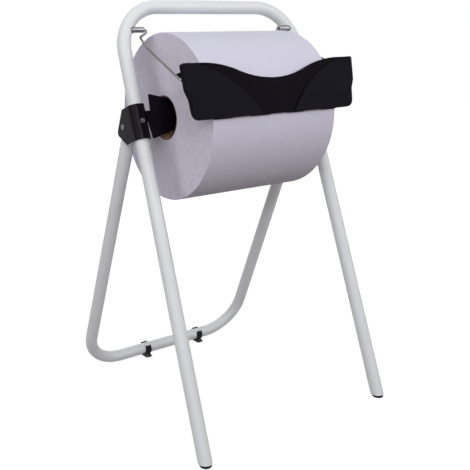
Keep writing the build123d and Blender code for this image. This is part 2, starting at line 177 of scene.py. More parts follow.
class StandSizes(bpy.types.PropertyGroup):
    """Sizes of the steel parts"""

    tube_wall: size("Tube wall", "Thickness of the tube's wall", 1.5)
    tube_bend: size("Tube bend", "Radius of the bends, at the middle of the tube", 85)
    tube_sides: count("Tube sides", "Faces round a tube", 56)
    tube_rim: size("Tube rim", "Rounding of the tube's cut ends", 0.3)
    sheet: size("Sheet", "Thickness of brackets and core holders", 2.5)
    sheet_edge: size("Sheet edge", "Rounding of the sheet's cut edges", 0.45)
    crease: size("Crease", "Depth of the crease along each core holder", 7)
    wire: size("Wire", "Diameter of the arms' wire", 4)
    weld: size("Weld", "Thickness of the weld round each sleeve", 1.7)


class RollSizes(bpy.types.PropertyGroup):
    """Sizes of the paper roll and its core"""

    radius: size("Roll radius", "Outer radius of the full roll", 150)
    width: size("Roll width", "Width of the paper", 275)
    bore: size("Core bore", "Inner diameter of the cardboard core", 76)
    core_wall: size("Core wall", "Thickness of the cardboard core", 2)
    layer_step: size("Layer step", "How far bands of layers stand out at the ends", 0.12)
    around: count("Roll steps", "Faces round the roll", 192)


class BarSizes(bpy.types.PropertyGroup):
    """Sizes of the moulded parts"""

    wall: size("Bar wall", "Wall of the tear bar", 2.4)
    depth: size("Bar depth", "Depth of the tear bar from front to back", 10)
    recess: size("Bar recess", "How far the middle of the face lies behind its wings", 3)
    edge: size("Bar edge", "Rounding of the tear bar's front edges", 1.2)
    tooth: size("Tooth", "Height of a tooth under the lower edge", 1.2)
    teeth: count("Teeth", "Number of teeth", 105)
    clip_edge: size("Clip edge", "Rounding of clips and plugs", 0.6)


class StandFinish(bpy.types.PropertyGroup):
    """Colours of the stand and its roll"""

    tube: colour("Tube", "Coating of the tubes", 235, 239, 241)
    steel: colour("Black steel", "Coating of brackets and core holders", 20, 16, 27)
    zinc: colour("Zinc", "Plated sleeves and eyelets", 146, 146, 149)
    wire: colour("Wire", "Dull drawn wire of the arms", 134, 132, 136)
    rivet: colour("Rivet", "Bare rivets and wire caps", 122, 116, 121)
    plastic: colour("Plastic", "Moulded feet and clips", 22, 21, 26)
    wing: colour("Bar wings", "Grained wings of the tear bar", 27, 25, 34)
    middle: colour("Bar middle", "Smooth middle of the tear bar", 12, 9, 18)
    board: colour("Board", "Cardboard of the core", 205, 165, 134)
    paper: colour("Paper", "Wiping paper", 227, 226, 242)
    coat_roughness: share("Coating roughness", "Roughness of the white coating", 0.38)
    steel_roughness: share("Steel roughness", "Roughness of the black coating", 0.2)


class StageSettings(bpy.types.PropertyGroup):
    """Camera, floor and light"""

    camera: bpy.props.FloatVectorProperty(
        name="Camera", description="Place of the camera", default=(-0.8258, -1.1476, 0.6686),
        subtype="TRANSLATION", unit="LENGTH", size=3,
    )
    heading: angle("Heading", "Turn of the view from straight back towards the right", 32.938)
    pitch: angle("Pitch", "How far the view looks down", 11.721)
    roll: angle("Roll", "Turn of the picture", -2.329)
    lens: bpy.props.FloatProperty(
        name="Lens", description="Focal length over a 36 mm sensor", default=55.066,
        subtype="DISTANCE_CAMERA", unit="CAMERA",
    )
    shift_x: bpy.props.FloatProperty(
        name="Shift X", description="Sideways shift of the lens", default=0.11143,
    )
    shift_y: bpy.props.FloatProperty(
        name="Shift Y", description="Upward shift of the lens", default=-0.05094,
    )
    floor: colour("Floor", "Floor and background", 255, 255, 255)
    bounce: share("Bounce", "How much light the floor gives back to the stand", 0.17)
    horizon: share("Horizon", "Strength of the light from level with the stand", 0.2, 5.0)
    sky: share("Sky", "Strength of the light from straight above", 0.03, 5.0)
    left: power("Left lamp", "Power of the soft lamp at the front left", 42.5)
    right: power("Right lamp", "Power of the soft lamp at the front right", 21.0)
    front: power("Front lamp", "Power of the lamp above the camera", 9.0)
    back: power("Back lamp", "Power of the soft lamp behind the stand", 20.0)
    top: power("Top lamp", "Power of the soft lamp overhead", 10.5)


# Hand tools


def clear_choice():
    """Leave edit mode and deselect every object."""
    if bpy.context.object and bpy.context.object.mode != "OBJECT":
        bpy.ops.object.mode_set(mode="OBJECT")
    bpy.ops.object.select_all(action="DESELECT")


def focus(piece):
    """Make a piece the only selected object."""
    clear_choice()
    piece.select_set(True)
    bpy.context.view_layer.objects.active = piece


def select_all():
    """Select the whole open mesh."""
    bpy.ops.mesh.select_all(action="SELECT")


def open_mesh(piece, action="DESELECT"):
    """Enter edit mode on a piece, with its points deselected or selected."""
    focus(piece)
    bpy.ops.object.mode_set(mode="EDIT")
    bpy.ops.mesh.select_mode(type="VERT")
    bpy.ops.mesh.select_all(action=action)


def close_mesh():
    """Leave edit mode."""
    bpy.ops.object.mode_set(mode="OBJECT")


def face_outwards():
    """Turn every face of the open mesh outwards."""
    select_all()
    bpy.ops.mesh.normals_make_consistent(inside=False)


def close_solid():
    """Turn every face outwards and leave edit mode."""
    face_outwards()
    close_mesh()


def apply_place():
    """Put the place, turn and scale of the chosen object into its mesh."""
    bpy.ops.object.transform_apply(location=True, rotation=True, scale=True)


def new_piece(name):
    """Name the primitive just added and put its place into its mesh."""
    piece = bpy.context.object
    piece.name = piece.data.name = name
    apply_place()
    return piece


def start_point(name, at):
    """Open a mesh of one selected point."""
    clear_choice()
    bpy.ops.mesh.primitive_plane_add(size=MM, location=at)
    piece = new_piece(name)
    open_mesh(piece, "SELECT")
    bpy.ops.mesh.merge(type="CENTER")
    return piece


def start_ring(name, at, along, radius, sides):
    """Open a mesh of one selected ring that faces along a direction."""
    clear_choice()
    turn = along.to_track_quat("Z", "Y").to_euler()
    bpy.ops.mesh.primitive_circle_add(vertices=sides, radius=radius, location=at, rotation=turn)
    piece = new_piece(name)
    open_mesh(piece, "SELECT")
    return piece


def pull(step):
    """Extrude what is selected along a straight run."""
    if step.length > CLOSE:
        bpy.ops.mesh.extrude_region_move(TRANSFORM_OT_translate={"value": step[:]})


def swing(centre, axis, turn, steps):
    """Spin what is selected round an axis. The operator turns against the right-hand rule."""
    bpy.ops.mesh.spin(steps=steps, angle=turn, center=centre[:], axis=(-axis)[:])


def draw(points, radii=None, step_angle=math.radians(7.5)):
    """Draw what is selected along straight runs whose inner corners are rounded."""
    radii = radii or [0] * (len(points) - 2)
    here = points[0]
    for before, corner, after, radius in zip(points, points[1:], points[2:], radii):
        if radius < CLOSE:
            pull(corner - here)
            here = corner
            continue
        back = (before - corner).normalized()
        on = (after - corner).normalized()
        half = back.angle(on) / 2
        room = 0.49 * min((before - corner).length, (after - corner).length)
        reach = min(radius / math.tan(half), room)
        centre = corner + (back + on).normalized() * (reach / math.cos(half))
        turn = math.pi - 2 * half
        pull(corner + back * reach - here)
        swing(centre, on.cross(back).normalized(), turn, max(2, round(turn / step_angle)))
        here = corner + on * reach
    pull(points[-1] - here)


def merge_doubles(threshold=MM / 100):
    """Merge the points of the open mesh that lie on each other, and select all."""
    select_all()
    bpy.ops.mesh.remove_doubles(threshold=threshold)
    select_all()


def close_outline():
    """Close a drawn line that came back to its start, and fill it."""
    merge_doubles()
    bpy.ops.mesh.edge_face_add()


def close_ends(piece):
    """Fill the open ends of a swept piece."""
    open_mesh(piece, "SELECT")
    bpy.ops.mesh.fill_holes(sides=0)
    close_solid()


def cut(at, along, **keep):
    """Cut the whole open mesh with a plane."""
    select_all()
    bpy.ops.mesh.bisect(plane_co=at[:], plane_no=along[:], **keep)


def choose(piece, kind, test):
    """Leave selected only the faces, edges or points of the open mesh that pass a test."""
    bpy.ops.mesh.select_mode(type=kind)
    bpy.ops.mesh.select_all(action="DESELECT")
    mesh = bmesh.from_edit_mesh(piece.data)
    items = {"FACE": mesh.faces, "EDGE": mesh.edges, "VERT": mesh.verts}[kind]
    chosen = [item for item in items if test(item)]
    if not chosen:
        raise RuntimeError(f"{piece.name} has no {kind.lower()} of the kind that is to be shaped")
    for item in chosen:
        item.select_set(True)
    bmesh.update_edit_mesh(piece.data)


def at_height(height, side=0):
    """A test for edges that lie level at a height, on one side of the stand if it is given."""
    return lambda e: all(abs(v.co.z - height) < CLOSE and v.co.x * side >= 0 for v in e.verts)


def turn_faces(piece, away):
    """Flip an open sheet whose faces mostly look against the direction given for each place."""
    if sum(f.normal.dot(away(f.center)) * f.area for f in piece.data.polygons) < 0:
        open_mesh(piece, "SELECT")
        bpy.ops.mesh.flip_normals()
        close_mesh()


def modify(piece, kind, **settings):
    """Apply one modifier to a piece."""
    focus(piece)
    modifier = piece.modifiers.new(kind.title(), kind)
    for name, value in settings.items():
        setattr(modifier, name, value)
    bpy.ops.object.modifier_apply(modifier=modifier.name)


def combine(piece, tool, operation="DIFFERENCE"):
    """Cut a tool out of a piece, or weld it on, and remove the tool."""
    modify(piece, "BOOLEAN", operation=operation, solver="EXACT", object=tool)
    bpy.data.objects.remove(tool)


def round_edges(piece, width, degrees=35, segments=2):
    """Round every edge sharper than an angle."""
    modify(
        piece, "BEVEL", width=width, segments=segments, limit_method="ANGLE",
        angle_limit=math.radians(degrees), use_clamp_overlap=True, miter_outer="MITER_ARC",
    )


def smooth(piece, degrees):
    """Smooth the shading up to an angle, and keep broad faces flat."""
    focus(piece)
    bpy.ops.object.shade_smooth_by_angle(angle=math.radians(degrees))
    modify(piece, "WEIGHTED_NORMAL", keep_sharp=True, weight=50)


def mirrored(piece):
    """A copy of a piece of the right side on the left side, with its own mesh."""
    focus(piece)
    bpy.ops.object.duplicate()
    copy = bpy.context.object
    copy.name = copy.data.name = piece.name.replace("right", "left")
    copy.scale.x = -1
    apply_place()
    bpy.ops.object.mode_set(mode="EDIT")
    close_solid()
    return copy


def joined(name, *pieces):
    """Several meshes made one piece."""
    clear_choice()
    for piece in pieces:
        piece.select_set(True)
    bpy.context.view_layer.objects.active = pieces[0]
    bpy.ops.object.join()
    pieces[0].name = pieces[0].data.name = name
    return pieces[0]


def plate(name, points, radii, thickness, step_angle=math.radians(7.5)):
    """A drawn outline, filled and given a thickness."""
    piece = start_point(name, points[0])
    draw([*points, points[0]], radii, step_angle)
    close_outline()
    pull(thickness)
    close_solid()
    return piece


def drill(piece, start, end, radius, sides=24):
    """Drill a round hole in a piece."""
    bit = start_ring("drill", start, end - start, radius, sides)
    bpy.ops.mesh.edge_face_add()
    pull(end - start)
    close_solid()
    combine(piece, bit)


def turned(name, origin, axis, outward, profile, radii=None, steps=40, closed=False):
    """A piece turned on a lathe from (radius, height) pairs along an axis."""
    points = [origin + outward * r + axis * h for r, h in profile]
    if closed:
        points.append(points[0])
    piece = start_point(name, points[0])
    draw(points, radii, math.radians(15))
    merge_doubles()
    swing(origin, axis, math.tau, steps)
    merge_doubles()
    close_solid()
    return piece


def swept(name, points, radius, bends, sides, step_angle=math.radians(3.75)):
    """A rod bent along a line, with open ends."""
    piece = start_ring(name, points[0], points[1] - points[0], radius, sides)
    draw(points, bends, step_angle)
    close_solid()
    return piece


def dress(piece, degrees, finish, body, slot, *nodes):
    """Smooth a piece, give it material and body, and hide the nodes that it stands for."""
    smooth(piece, degrees)
    piece.data.materials.clear()
    piece.data.materials.append(palette[finish])
    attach(piece, body)
    if nodes:
        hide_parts(*nodes)


def dress_pair(right, degrees, finish, body, slot, *nodes):
    """Copy a piece of the right side to the left, and dress both."""
    for index, piece in enumerate((mirrored(right), right)):
        dress(piece, degrees, finish, body, slot, *nodes[index:index + 1])


# Materials


def feed(tree, target, value):
    """Give a socket a value, or connect it to an output of another node."""
    if isinstance(value, bpy.types.NodeSocket):
        tree.links.new(value, target)
    else:
        target.default_value = value


def add(tree, kind, inputs=None, **settings):
    """Add a node, set it and feed its inputs."""
    node = tree.nodes.new(kind)
    for name, value in settings.items():
        setattr(node, name, value)
    for name, value in (inputs or {}).items():
        feed(tree, node.inputs[name], value)
    return node


def maths(tree, operation, first, second=0.0):
    """One sum of two values."""
    return add(tree, "ShaderNodeMath", {0: first, 1: second}, operation=operation).outputs[0]


def product(tree, first, second):
    """Two values multiplied."""
    return maths(tree, "MULTIPLY", first, second)


def spread(tree, value, low, high, new_low=0.0, new_high=1.0):
    """Stretch a value from one range to another."""
    return add(tree, "ShaderNodeMapRange", {
        "Value": value, "From Min": low, "From Max": high, "To Min": new_low, "To Max": new_high,
    }, clamp=True).outputs["Result"]


def noise(tree, place, scale, detail, roughness=0.5, distortion=0.0):
    """A noise pattern."""
    return add(tree, "ShaderNodeTexNoise", {
        "Vector": place, "Scale": scale, "Detail": detail,
        "Roughness": roughness, "Distortion": distortion,
    }).outputs["Fac"]


def split(tree, vector):
    """The three parts of a vector."""
    return add(tree, "ShaderNodeSeparateXYZ", {"Vector": vector}).outputs


def surface_normal(tree):
    """The normal in the object's own directions."""
    return add(tree, "ShaderNodeTexCoord").outputs["Normal"]


def new_group(name, inputs, outputs):
    """An empty node group with a place, values and results: its tree and its two ends."""
    group = bpy.data.node_groups.new(name, "ShaderNodeTree")
    group.interface.new_socket(name="Vector", in_out="INPUT", socket_type="NodeSocketVector")
    for title, default in inputs.items():
        group.interface.new_socket(
            name=title, in_out="INPUT", socket_type="NodeSocketFloat",
        ).default_value = default
    for title in outputs:
        group.interface.new_socket(name=title, in_out="OUTPUT", socket_type="NodeSocketFloat")
    given, result = group.nodes.new("NodeGroupInput"), group.nodes.new("NodeGroupOutput")
    return group, given.outputs, result.inputs


def grain_group():
    """Fine surface grain: a height and a speckle from two sizes of noise."""
    tree, given, result = new_group(
        "fine_grain", {"Scale": 600.0, "Coarseness": 0.5}, ("Height", "Speckle"),
    )
    fine = noise(tree, given["Vector"], given["Scale"], 3.0, 0.6)
    wide = noise(tree, given["Vector"], product(tree, given["Scale"], 0.23), 2.0)
    height = add(tree, "ShaderNodeMix", {0: given["Coarseness"], 2: fine, 3: wide})
    feed(tree, result["Height"], height.outputs[0])
    feed(tree, result["Speckle"], spread(tree, fine, 0.42, 0.62))


def smudge_group():
    """Broad uneven patches and streaks, as handling and cleaning leave them."""
    tree, given, result = new_group(
        "handling_smudges", {"Scale": 14.0, "Contrast": 0.25}, ("Patches", "Streaks"),
    )
    place = {"Vector": given["Vector"], "Scale": (1.0, 1.0, 0.12)}
    drawn_out = add(tree, "ShaderNodeMapping", place).outputs["Vector"]
    patches = noise(tree, given["Vector"], given["Scale"], 5.0, 0.62, 0.6)
    streaks = noise(tree, drawn_out, product(tree, given["Scale"], 9.0), 3.0)
    low = maths(tree, "SUBTRACT", 0.5, given["Contrast"])
    high = maths(tree, "ADD", 0.5, given["Contrast"])
    feed(tree, result["Patches"], spread(tree, patches, low, high))
    feed(tree, result["Streaks"], spread(tree, streaks, low, high))


def wear_group():
    """Edges rubbed by use: where the rounded and the true normal differ, broken up by noise."""
    tree, given, result = new_group(
        "edge_wear", {"Radius": 0.0008, "Patch scale": 90.0}, ("Mask",),
    )
    rounded = add(tree, "ShaderNodeBevel", {"Radius": given["Radius"]}, samples=6).outputs["Normal"]
    true = add(tree, "ShaderNodeNewGeometry").outputs["Normal"]
    agree = add(tree, "ShaderNodeVectorMath", {0: rounded, 1: true}, operation="DOT_PRODUCT")
    edge = spread(tree, agree.outputs["Value"], 0.995, 0.86)
    broken = spread(tree, noise(tree, given["Vector"], given["Patch scale"], 4.0, 0.7), 0.40, 0.62)
    feed(tree, result["Mask"], product(tree, edge, broken))


def dust_and_sheen_group():
    """Dust that settles on faces that look up; laid thickly on the floor parts, it also serves as a
    painted highlight on their tops.
    """
    tree, given, result = new_group("settled_dust", {"Amount": 0.3}, ("Mask",))
    up = spread(tree, split(tree, surface_normal(tree))["Z"], 0.35, 1.0)
    patches = spread(tree, noise(tree, given["Vector"], 55.0, 6.0, 0.7), 0.35, 0.7)
    feed(tree, result["Mask"], product(tree, product(tree, up, patches), given["Amount"]))


class Surface:
    """A material in the making: its tree, shader, object coordinates and colour so far."""

    def __init__(self, name, rgb):
        self.material = bpy.data.materials.new(name)
        self.material.use_nodes = True
        self.tree = self.material.node_tree
        self.shader = next(n for n in self.tree.nodes if n.type == "BSDF_PRINCIPLED")
        self.place = add(self.tree, "ShaderNodeTexCoord").outputs["Object"]
        self.rgb = solid(rgb)

    def group(self, name, inputs, place=None):
        """Place a shared node group with its own values."""
        inputs = {"Vector": place or self.place, **inputs}
        return add(
            self.tree, "ShaderNodeGroup", inputs, node_tree=bpy.data.node_groups[name],
        ).outputs

    def grain(self, scale, coarseness, place=None):
        """Fine grain: Height and Speckle."""
        return self.group("fine_grain", {"Scale": scale, "Coarseness": coarseness}, place)

    def smudges(self, scale, contrast):
        """Marks of handling: Patches and Streaks."""
        return self.group("handling_smudges", {"Scale": scale, "Contrast": contrast})

    def wear(self, radius, patch_scale):
        """Mask of rubbed edges."""
        return self.group("edge_wear", {"Radius": radius, "Patch scale": patch_scale})["Mask"]

    def dust_and_sheen(self, amount):
        """Mask of settled dust on faces that look up, which also serves as a painted highlight
        there.
        """
        return self.group("settled_dust", {"Amount": amount})["Mask"]

    def lay(self, mask, rgb, strength=None):
        """Lay a colour over the colour so far, where a mask has it."""
        if strength is not None:
            mask = product(self.tree, mask, strength)
        inputs = {0: mask, 6: self.rgb, 7: solid(rgb)}
        self.rgb = add(self.tree, "ShaderNodeMix", inputs, data_type="RGBA").outputs[2]

    def give(self, name, value):
        """Feed one socket of the shader."""
        feed(self.tree, self.shader.inputs[name], value)

    def roughen(self, value, low, high):
        """Let the roughness follow a value of 0 to 1."""
        self.give("Roughness", spread(self.tree, value, 0, 1, low, high))

    def finished(self, height, strength, distance):
        """The material, once its colour and its relief are fed to the shader."""
        self.give("Base Color", self.rgb)
        self.give("Normal", add(self.tree, "ShaderNodeBump", {
            "Strength": strength, "Distance": distance, "Height": height,
        }).outputs["Normal"])
        return self.material


def white_coat(finish):
    """White powder coating: faint orange peel, slightly uneven and dulled by hands."""
    surface = Surface("white_coating", finish.tube)
    patches = surface.smudges(scale=11.0, contrast=0.2)["Patches"]
    surface.lay(patches, scaled(finish.tube, 0.94, 0.94, 0.93), strength=0.55)
    surface.lay(surface.dust_and_sheen(0.25), linear(205, 202, 196))
    surface.roughen(patches, finish.coat_roughness - 0.05, finish.coat_roughness + 0.1)
    surface.give("Coat Weight", 0.15)
    surface.give("Coat Roughness", 0.25)
    peel = surface.grain(scale=900.0, coarseness=0.6)["Height"]
    return surface.finished(peel, strength=0.25, distance=0.00018)


def black_coat(finish):
    """Satin black coating with a fine grain, a little rubbed along its edges."""
    surface = Surface("black_coating", scaled(finish.steel, 0.72))
    marks = surface.smudges(scale=22.0, contrast=0.22)
    surface.lay(marks["Patches"], finish.steel)
    surface.lay(surface.wear(radius=0.0007, patch_scale=160.0), linear(78, 78, 84), strength=0.5)
    surface.lay(surface.dust_and_sheen(0.18), linear(120, 118, 114))
    rough = finish.steel_roughness
    surface.roughen(marks["Streaks"], rough - 0.06, rough + 0.1)
    surface.give("Specular IOR Level", 0.07)
    fine = surface.grain(scale=1400.0, coarseness=0.35)["Height"]
    return surface.finished(fine, strength=0.2, distance=0.0001)


def metal(name, bright, dull, smudges, grain, roughness, metallic=1.0, relief=(0.3, 0.00008)):
    """Metal with dull patches.

    The smudges are a scale and a contrast, the grain a scale and a coarseness, the roughness
    the pattern that it follows and its range, and the relief a strength and a distance.
    """
    surface = Surface(name, bright)
    patterns = {**surface.smudges(*smudges), **surface.grain(*grain)}
    surface.lay(patterns["Patches"], dull)
    followed, low, high = roughness
    surface.roughen(patterns[followed], low, high)
    surface.give("Metallic", metallic)
    return surface.finished(patterns["Height"], *relief)


def plated(finish):
    """Zinc plating: bright, with dull patches."""
    dull = scaled(finish.zinc, 0.62)
    rough = "Patches", 0.24, 0.42
    return metal("zinc_plate", finish.zinc, dull, (60.0, 0.2), (2200.0, 0.3), rough)


def drawn_wire(finish):
    """Drawn steel wire: dull, finely grained, with darker patches."""
    dull = scaled(finish.wire, 0.6)
    rough = "Speckle", 0.34, 0.5
    return metal("drawn_wire", finish.wire, dull, (48.0, 0.2), (2000.0, 0.35), rough)


def bare_rivet(finish):
    """Rolled steel rivet with a streaked and tarnished skin."""
    dull = scaled(finish.rivet, 0.5)
    rough = "Streaks", 0.26, 0.46
    return metal("rivet_metal", finish.rivet, dull, (240.0, 0.22), (2600.0, 0.4), rough)


def weld_metal(finish):
    """Weld bead: rough dark metal, blued by heat in places; its dark grey is partly painted shade
    where the sleeve meets the tube.
    """
    # Dark grey with darker blued patches: partly heat tint, partly painted shade in the joint
    # between sleeve and tube.
    return metal(
        "weld_metal", linear(120, 118, 118), linear(62, 60, 68), (220.0, 0.25), (1600.0, 0.5),
        ("Speckle", 0.4, 0.62), metallic=0.85, relief=(0.6, 0.0002),
    )


def floor_plastic(finish):
    """Tough black plastic, matt, scuffed where it meets the floor, with dust and a painted
    highlight on the faces that look up.
    """
    surface = Surface("floor_plastic", finish.plastic)
    tree = surface.tree
    grain = surface.grain(scale=1500.0, coarseness=0.5)
    marks = surface.smudges(scale=60.0, contrast=0.2)
    low = spread(tree, split(tree, surface.place)["Z"], 0.004, 0.0005)
    surface.lay(marks["Patches"], scaled(finish.plastic, 1.8))
    surface.lay(product(tree, low, marks["Streaks"]), linear(96, 92, 88), strength=0.6)
    # Thick dust on upward faces: partly real dust, partly a painted highlight along the tops of the
    # clips and plugs.
    surface.lay(surface.dust_and_sheen(0.75), linear(150, 148, 146))
    surface.roughen(grain["Speckle"], 0.42, 0.58)
    surface.give("Specular IOR Level", 0.08)
    return surface.finished(grain["Height"], strength=0.4, distance=0.0002)


def bar_plastic(finish):
    """Moulded black plastic: grained wings, a smoother and darker middle, and painted shade in its
    hollows.
    """
    surface = Surface("bar_plastic", finish.middle)
    tree = surface.tree
    marks = surface.smudges(scale=16.0, contrast=0.22)
    vectors = "ShaderNodeVectorMath"
    away = add(tree, vectors, {0: surface.place, 1: BAR_AT[:]}, operation="SUBTRACT").outputs[0]
    out = add(tree, vectors, {0: away, 1: BAR_OUT[:]}, operation="DOT_PRODUCT").outputs["Value"]
    wing = spread(tree, out, -0.0028, -0.0018)
    surface.lay(wing, finish.wing)
    surface.lay(marks["Patches"], scaled(finish.wing, 0.7), strength=0.35)
    surface.lay(surface.wear(radius=0.0009, patch_scale=120.0), linear(84, 84, 92), strength=0.4)
    # Painted shade: near-black laid where ambient occlusion finds hollows, along the recess steps
    # and between the ribs at the back.
    open_sky = add(tree, "ShaderNodeAmbientOcclusion", {"Distance": 0.012}, samples=8).outputs["AO"]
    surface.lay(spread(tree, open_sky, 0.97, 0.62, 0.0, 0.85), linear(3, 2, 5))
    surface.lay(surface.dust_and_sheen(0.12), linear(120, 118, 114))
    rough = spread(tree, wing, 0, 1, 0.40, 0.48)
    surface.give("Roughness", maths(tree, "ADD", rough, product(tree, marks["Streaks"], 0.06)))
    surface.give("Specular IOR Level", 0.02)
    fine = surface.grain(scale=1700.0, coarseness=0.3)["Height"]
    height = product(tree, fine, spread(tree, wing, 0, 1, 0.3, 1.0))
    return surface.finished(height, strength=0.5, distance=0.0002)


def from_roll_axis(surface):
    """Coordinates that start from the roll's axis."""
    inputs = {"Vector": surface.place, "Location": (-ROLL)[:]}
    return add(surface.tree, "ShaderNodeMapping", inputs).outputs["Vector"]


def rings(tree, centred, scale, distortion, detail):
    """Rings round the roll's axis."""
    return add(tree, "ShaderNodeTexWave", {
        "Vector": centred, "Scale": scale, "Distortion": distortion, "Detail": detail,
        "Detail Scale": 1.5,
    }, wave_type="RINGS", rings_direction="X").outputs["Fac"]


def end_mask(tree):
    """1 on faces that look out at the roll's ends."""
    return spread(tree, maths(tree, "ABSOLUTE", split(tree, surface_normal(tree))["X"]), 0.6, 0.95)


def wound_paper(finish):
    """Soft wiping paper: fine crepe across the web, layers that show as rings at the ends."""
    surface = Surface("wound_paper", finish.paper)
    tree = surface.tree
    centred = from_roll_axis(surface)
    fine = rings(tree, centred, 420.0, 2.0, 2.0)
    wide = rings(tree, centred, 46.0, 3.0, 3.0)
    end = end_mask(tree)
    shade = scaled(finish.paper, 0.86, 0.85, 0.86)
    surface.lay(surface.smudges(scale=9.0, contrast=0.25)["Patches"], shade, strength=0.3)
    # Warmer, slightly darker bands on the ends: partly the cut edges of the layers, partly painted
    # warm shade of the roll's shaded sides.
    banded = product(tree, end, spread(tree, wide, 0, 1, 0.7, 1.0))
    surface.lay(banded, scaled(finish.paper, 1.0, 0.965, 0.945))
    mottle = surface.smudges(scale=85.0, contrast=0.15)["Patches"]
    surface.lay(product(tree, mottle, spread(tree, end, 0, 1, 0.25, 0.8)), shade)
    across = {"Vector": surface.place, "Scale": (0.35, 1.0, 1.0)}
    crepe = add(tree, "ShaderNodeMapping", across).outputs["Vector"]
    grain = surface.grain(scale=1100.0, coarseness=0.45, place=crepe)
    surface.roughen(grain["Speckle"], 0.82, 0.95)
    surface.give("Sheen Weight", 0.15)
    surface.give("Sheen Roughness", 0.6)
    layers = maths(tree, "ADD", product(tree, fine, 0.15), product(tree, wide, 0.3))
    height = maths(tree, "ADD", product(tree, end, layers), grain["Height"])
    return surface.finished(height, strength=0.35, distance=0.0003)


def core_board(finish):
    """Grey-brown board wound in a spiral, with fibres, a darker seam and painted shade on its cut
    ends.
    """
    surface = Surface("core_board", finish.board)
    tree = surface.tree
    grain = surface.grain(scale=700.0, coarseness=0.4)
    along = split(tree, from_roll_axis(surface))
    turn = product(tree, maths(tree, "ARCTAN2", along["Z"], along["Y"]), 1 / math.tau)
    climb = maths(tree, "ADD", product(tree, along["X"], 10.5), turn)
    seam = spread(tree, maths(tree, "PINGPONG", climb, 0.5), 0.018, 0.0)
    surface.lay(surface.smudges(scale=35.0, contrast=0.25)["Patches"], scaled(finish.board, 0.66))
    surface.lay(grain["Speckle"], scaled(finish.board, 1.35), strength=0.35)
    surface.lay(seam, scaled(finish.board, 0.4))
    # Painted shade: the cut ends are laid much darker than the board.
    surface.lay(end_mask(tree), linear(44, 38, 36))
    surface.roughen(grain["Speckle"], 0.75, 0.92)
    height = maths(tree, "SUBTRACT", grain["Height"], seam)
    return surface.finished(height, strength=0.5, distance=0.0003)


MAKERS = {
    "white": white_coat, "black": black_coat, "zinc": plated, "wire": drawn_wire,
    "weld": weld_metal, "rivet": bare_rivet, "plastic": floor_plastic, "bar": bar_plastic,
    "paper": wound_paper, "board": core_board,
}
palette = {}


class STAND_OT_finishes(bpy.types.Operator):
    """Build the shared node groups and the materials"""

    bl_idname = "stand.finishes"
    bl_label = "Finishes"

    def execute(self, context):
        for build in (grain_group, smudge_group, wear_group, dust_and_sheen_group):
            build()
        for name, build in MAKERS.items():
            palette[name] = build(context.scene.stand_finish)
        return {"FINISHED"}


# Pieces


def stand_line(side, z):
    """Middle of a front leg at a height."""
    half = FOOT_X + (SHOULDER_X - FOOT_X) * z / TOP_Z
    return Vector((side * half, FOOT_Y + z * math.tan(LEAN), z))


def front_line():
    """Corners of the front tube's middle line."""
    return [stand_line(-1, 0), stand_line(-1, TOP_Z), stand_line(1, TOP_Z), stand_line(1, 0)]


def eyelet_place(side):
    """Where the eyelet's head sits on the crest of the wrap."""
    centre = stand_line(side, EYELET_Z)
    centre.x = side * BRACKET_X
    return centre - BACK_FRONT * (WRAP_R + SHEET)


class STAND_OT_front_tube(bpy.types.Operator):
    """Bend the front tube, cut its feet level and give it a wall"""

    bl_idname = "stand.front_tube"
    bl_label = "Front tube"

    def execute(self, context):
        sizes = context.scene.stand_sizes
        tube = swept("front_tube", front_line(), TUBE_R, [sizes.tube_bend] * 2, sizes.tube_sides)
        modify(tube, "SOLIDIFY", thickness=sizes.tube_wall, offset=-1, use_rim=False)
        open_mesh(tube)
        cut(Z_AXIS * FOOT_CUT_Z, Z_AXIS, clear_inner=True)
        for side in SIDES:
            choose(tube, "EDGE", at_height(FOOT_CUT_Z, side))
            bpy.ops.mesh.bridge_edge_loops()
        close_solid()
        through_wall = BACK_FRONT * (9 * MM)
        for side in SIDES:
            crest = eyelet_place(side)
            drill(tube, crest, crest + through_wall, EYELET_HOLE_R)
        round_edges(tube, sizes.tube_rim, 50)
        dress(tube, 32, "white", "stand", "white_tube", "front_frame")
        return {"FINISHED"}


class STAND_OT_rear_tube(bpy.types.Operator):
    """Bend the rear tube and give it a wall"""

    bl_idname = "stand.rear_tube"
    bl_label = "Rear tube"

    def execute(self, context):
        sizes = context.scene.stand_sizes
        bar = Vector((0, REAR_BAR_Y, REAR_BAR_Z))
        play = 0.3 * MM
        turn_cos = UP_FRONT.dot(UP_REAR)
        turn_sin = math.sqrt(1 - turn_cos**2)
        tail = (PIVOT_BEHIND * math.cos(LEAN) - TUBE_R * (1 + turn_cos) - play) / turn_sin
        top = PIVOT + UP_REAR * tail
        across = X_AXIS * BRACKET_X
        line = [top - across, bar - across, bar + across, top + across]
        tube = swept("rear_tube", line, TUBE_R, [sizes.tube_bend] * 2, sizes.tube_sides)
        modify(tube, "SOLIDIFY", thickness=sizes.tube_wall, offset=-1)
        round_edges(tube, sizes.tube_rim, 50)
        dress(tube, 32, "white", "rear_leg", "white_tube", "rear_frame")
        return {"FINISHED"}


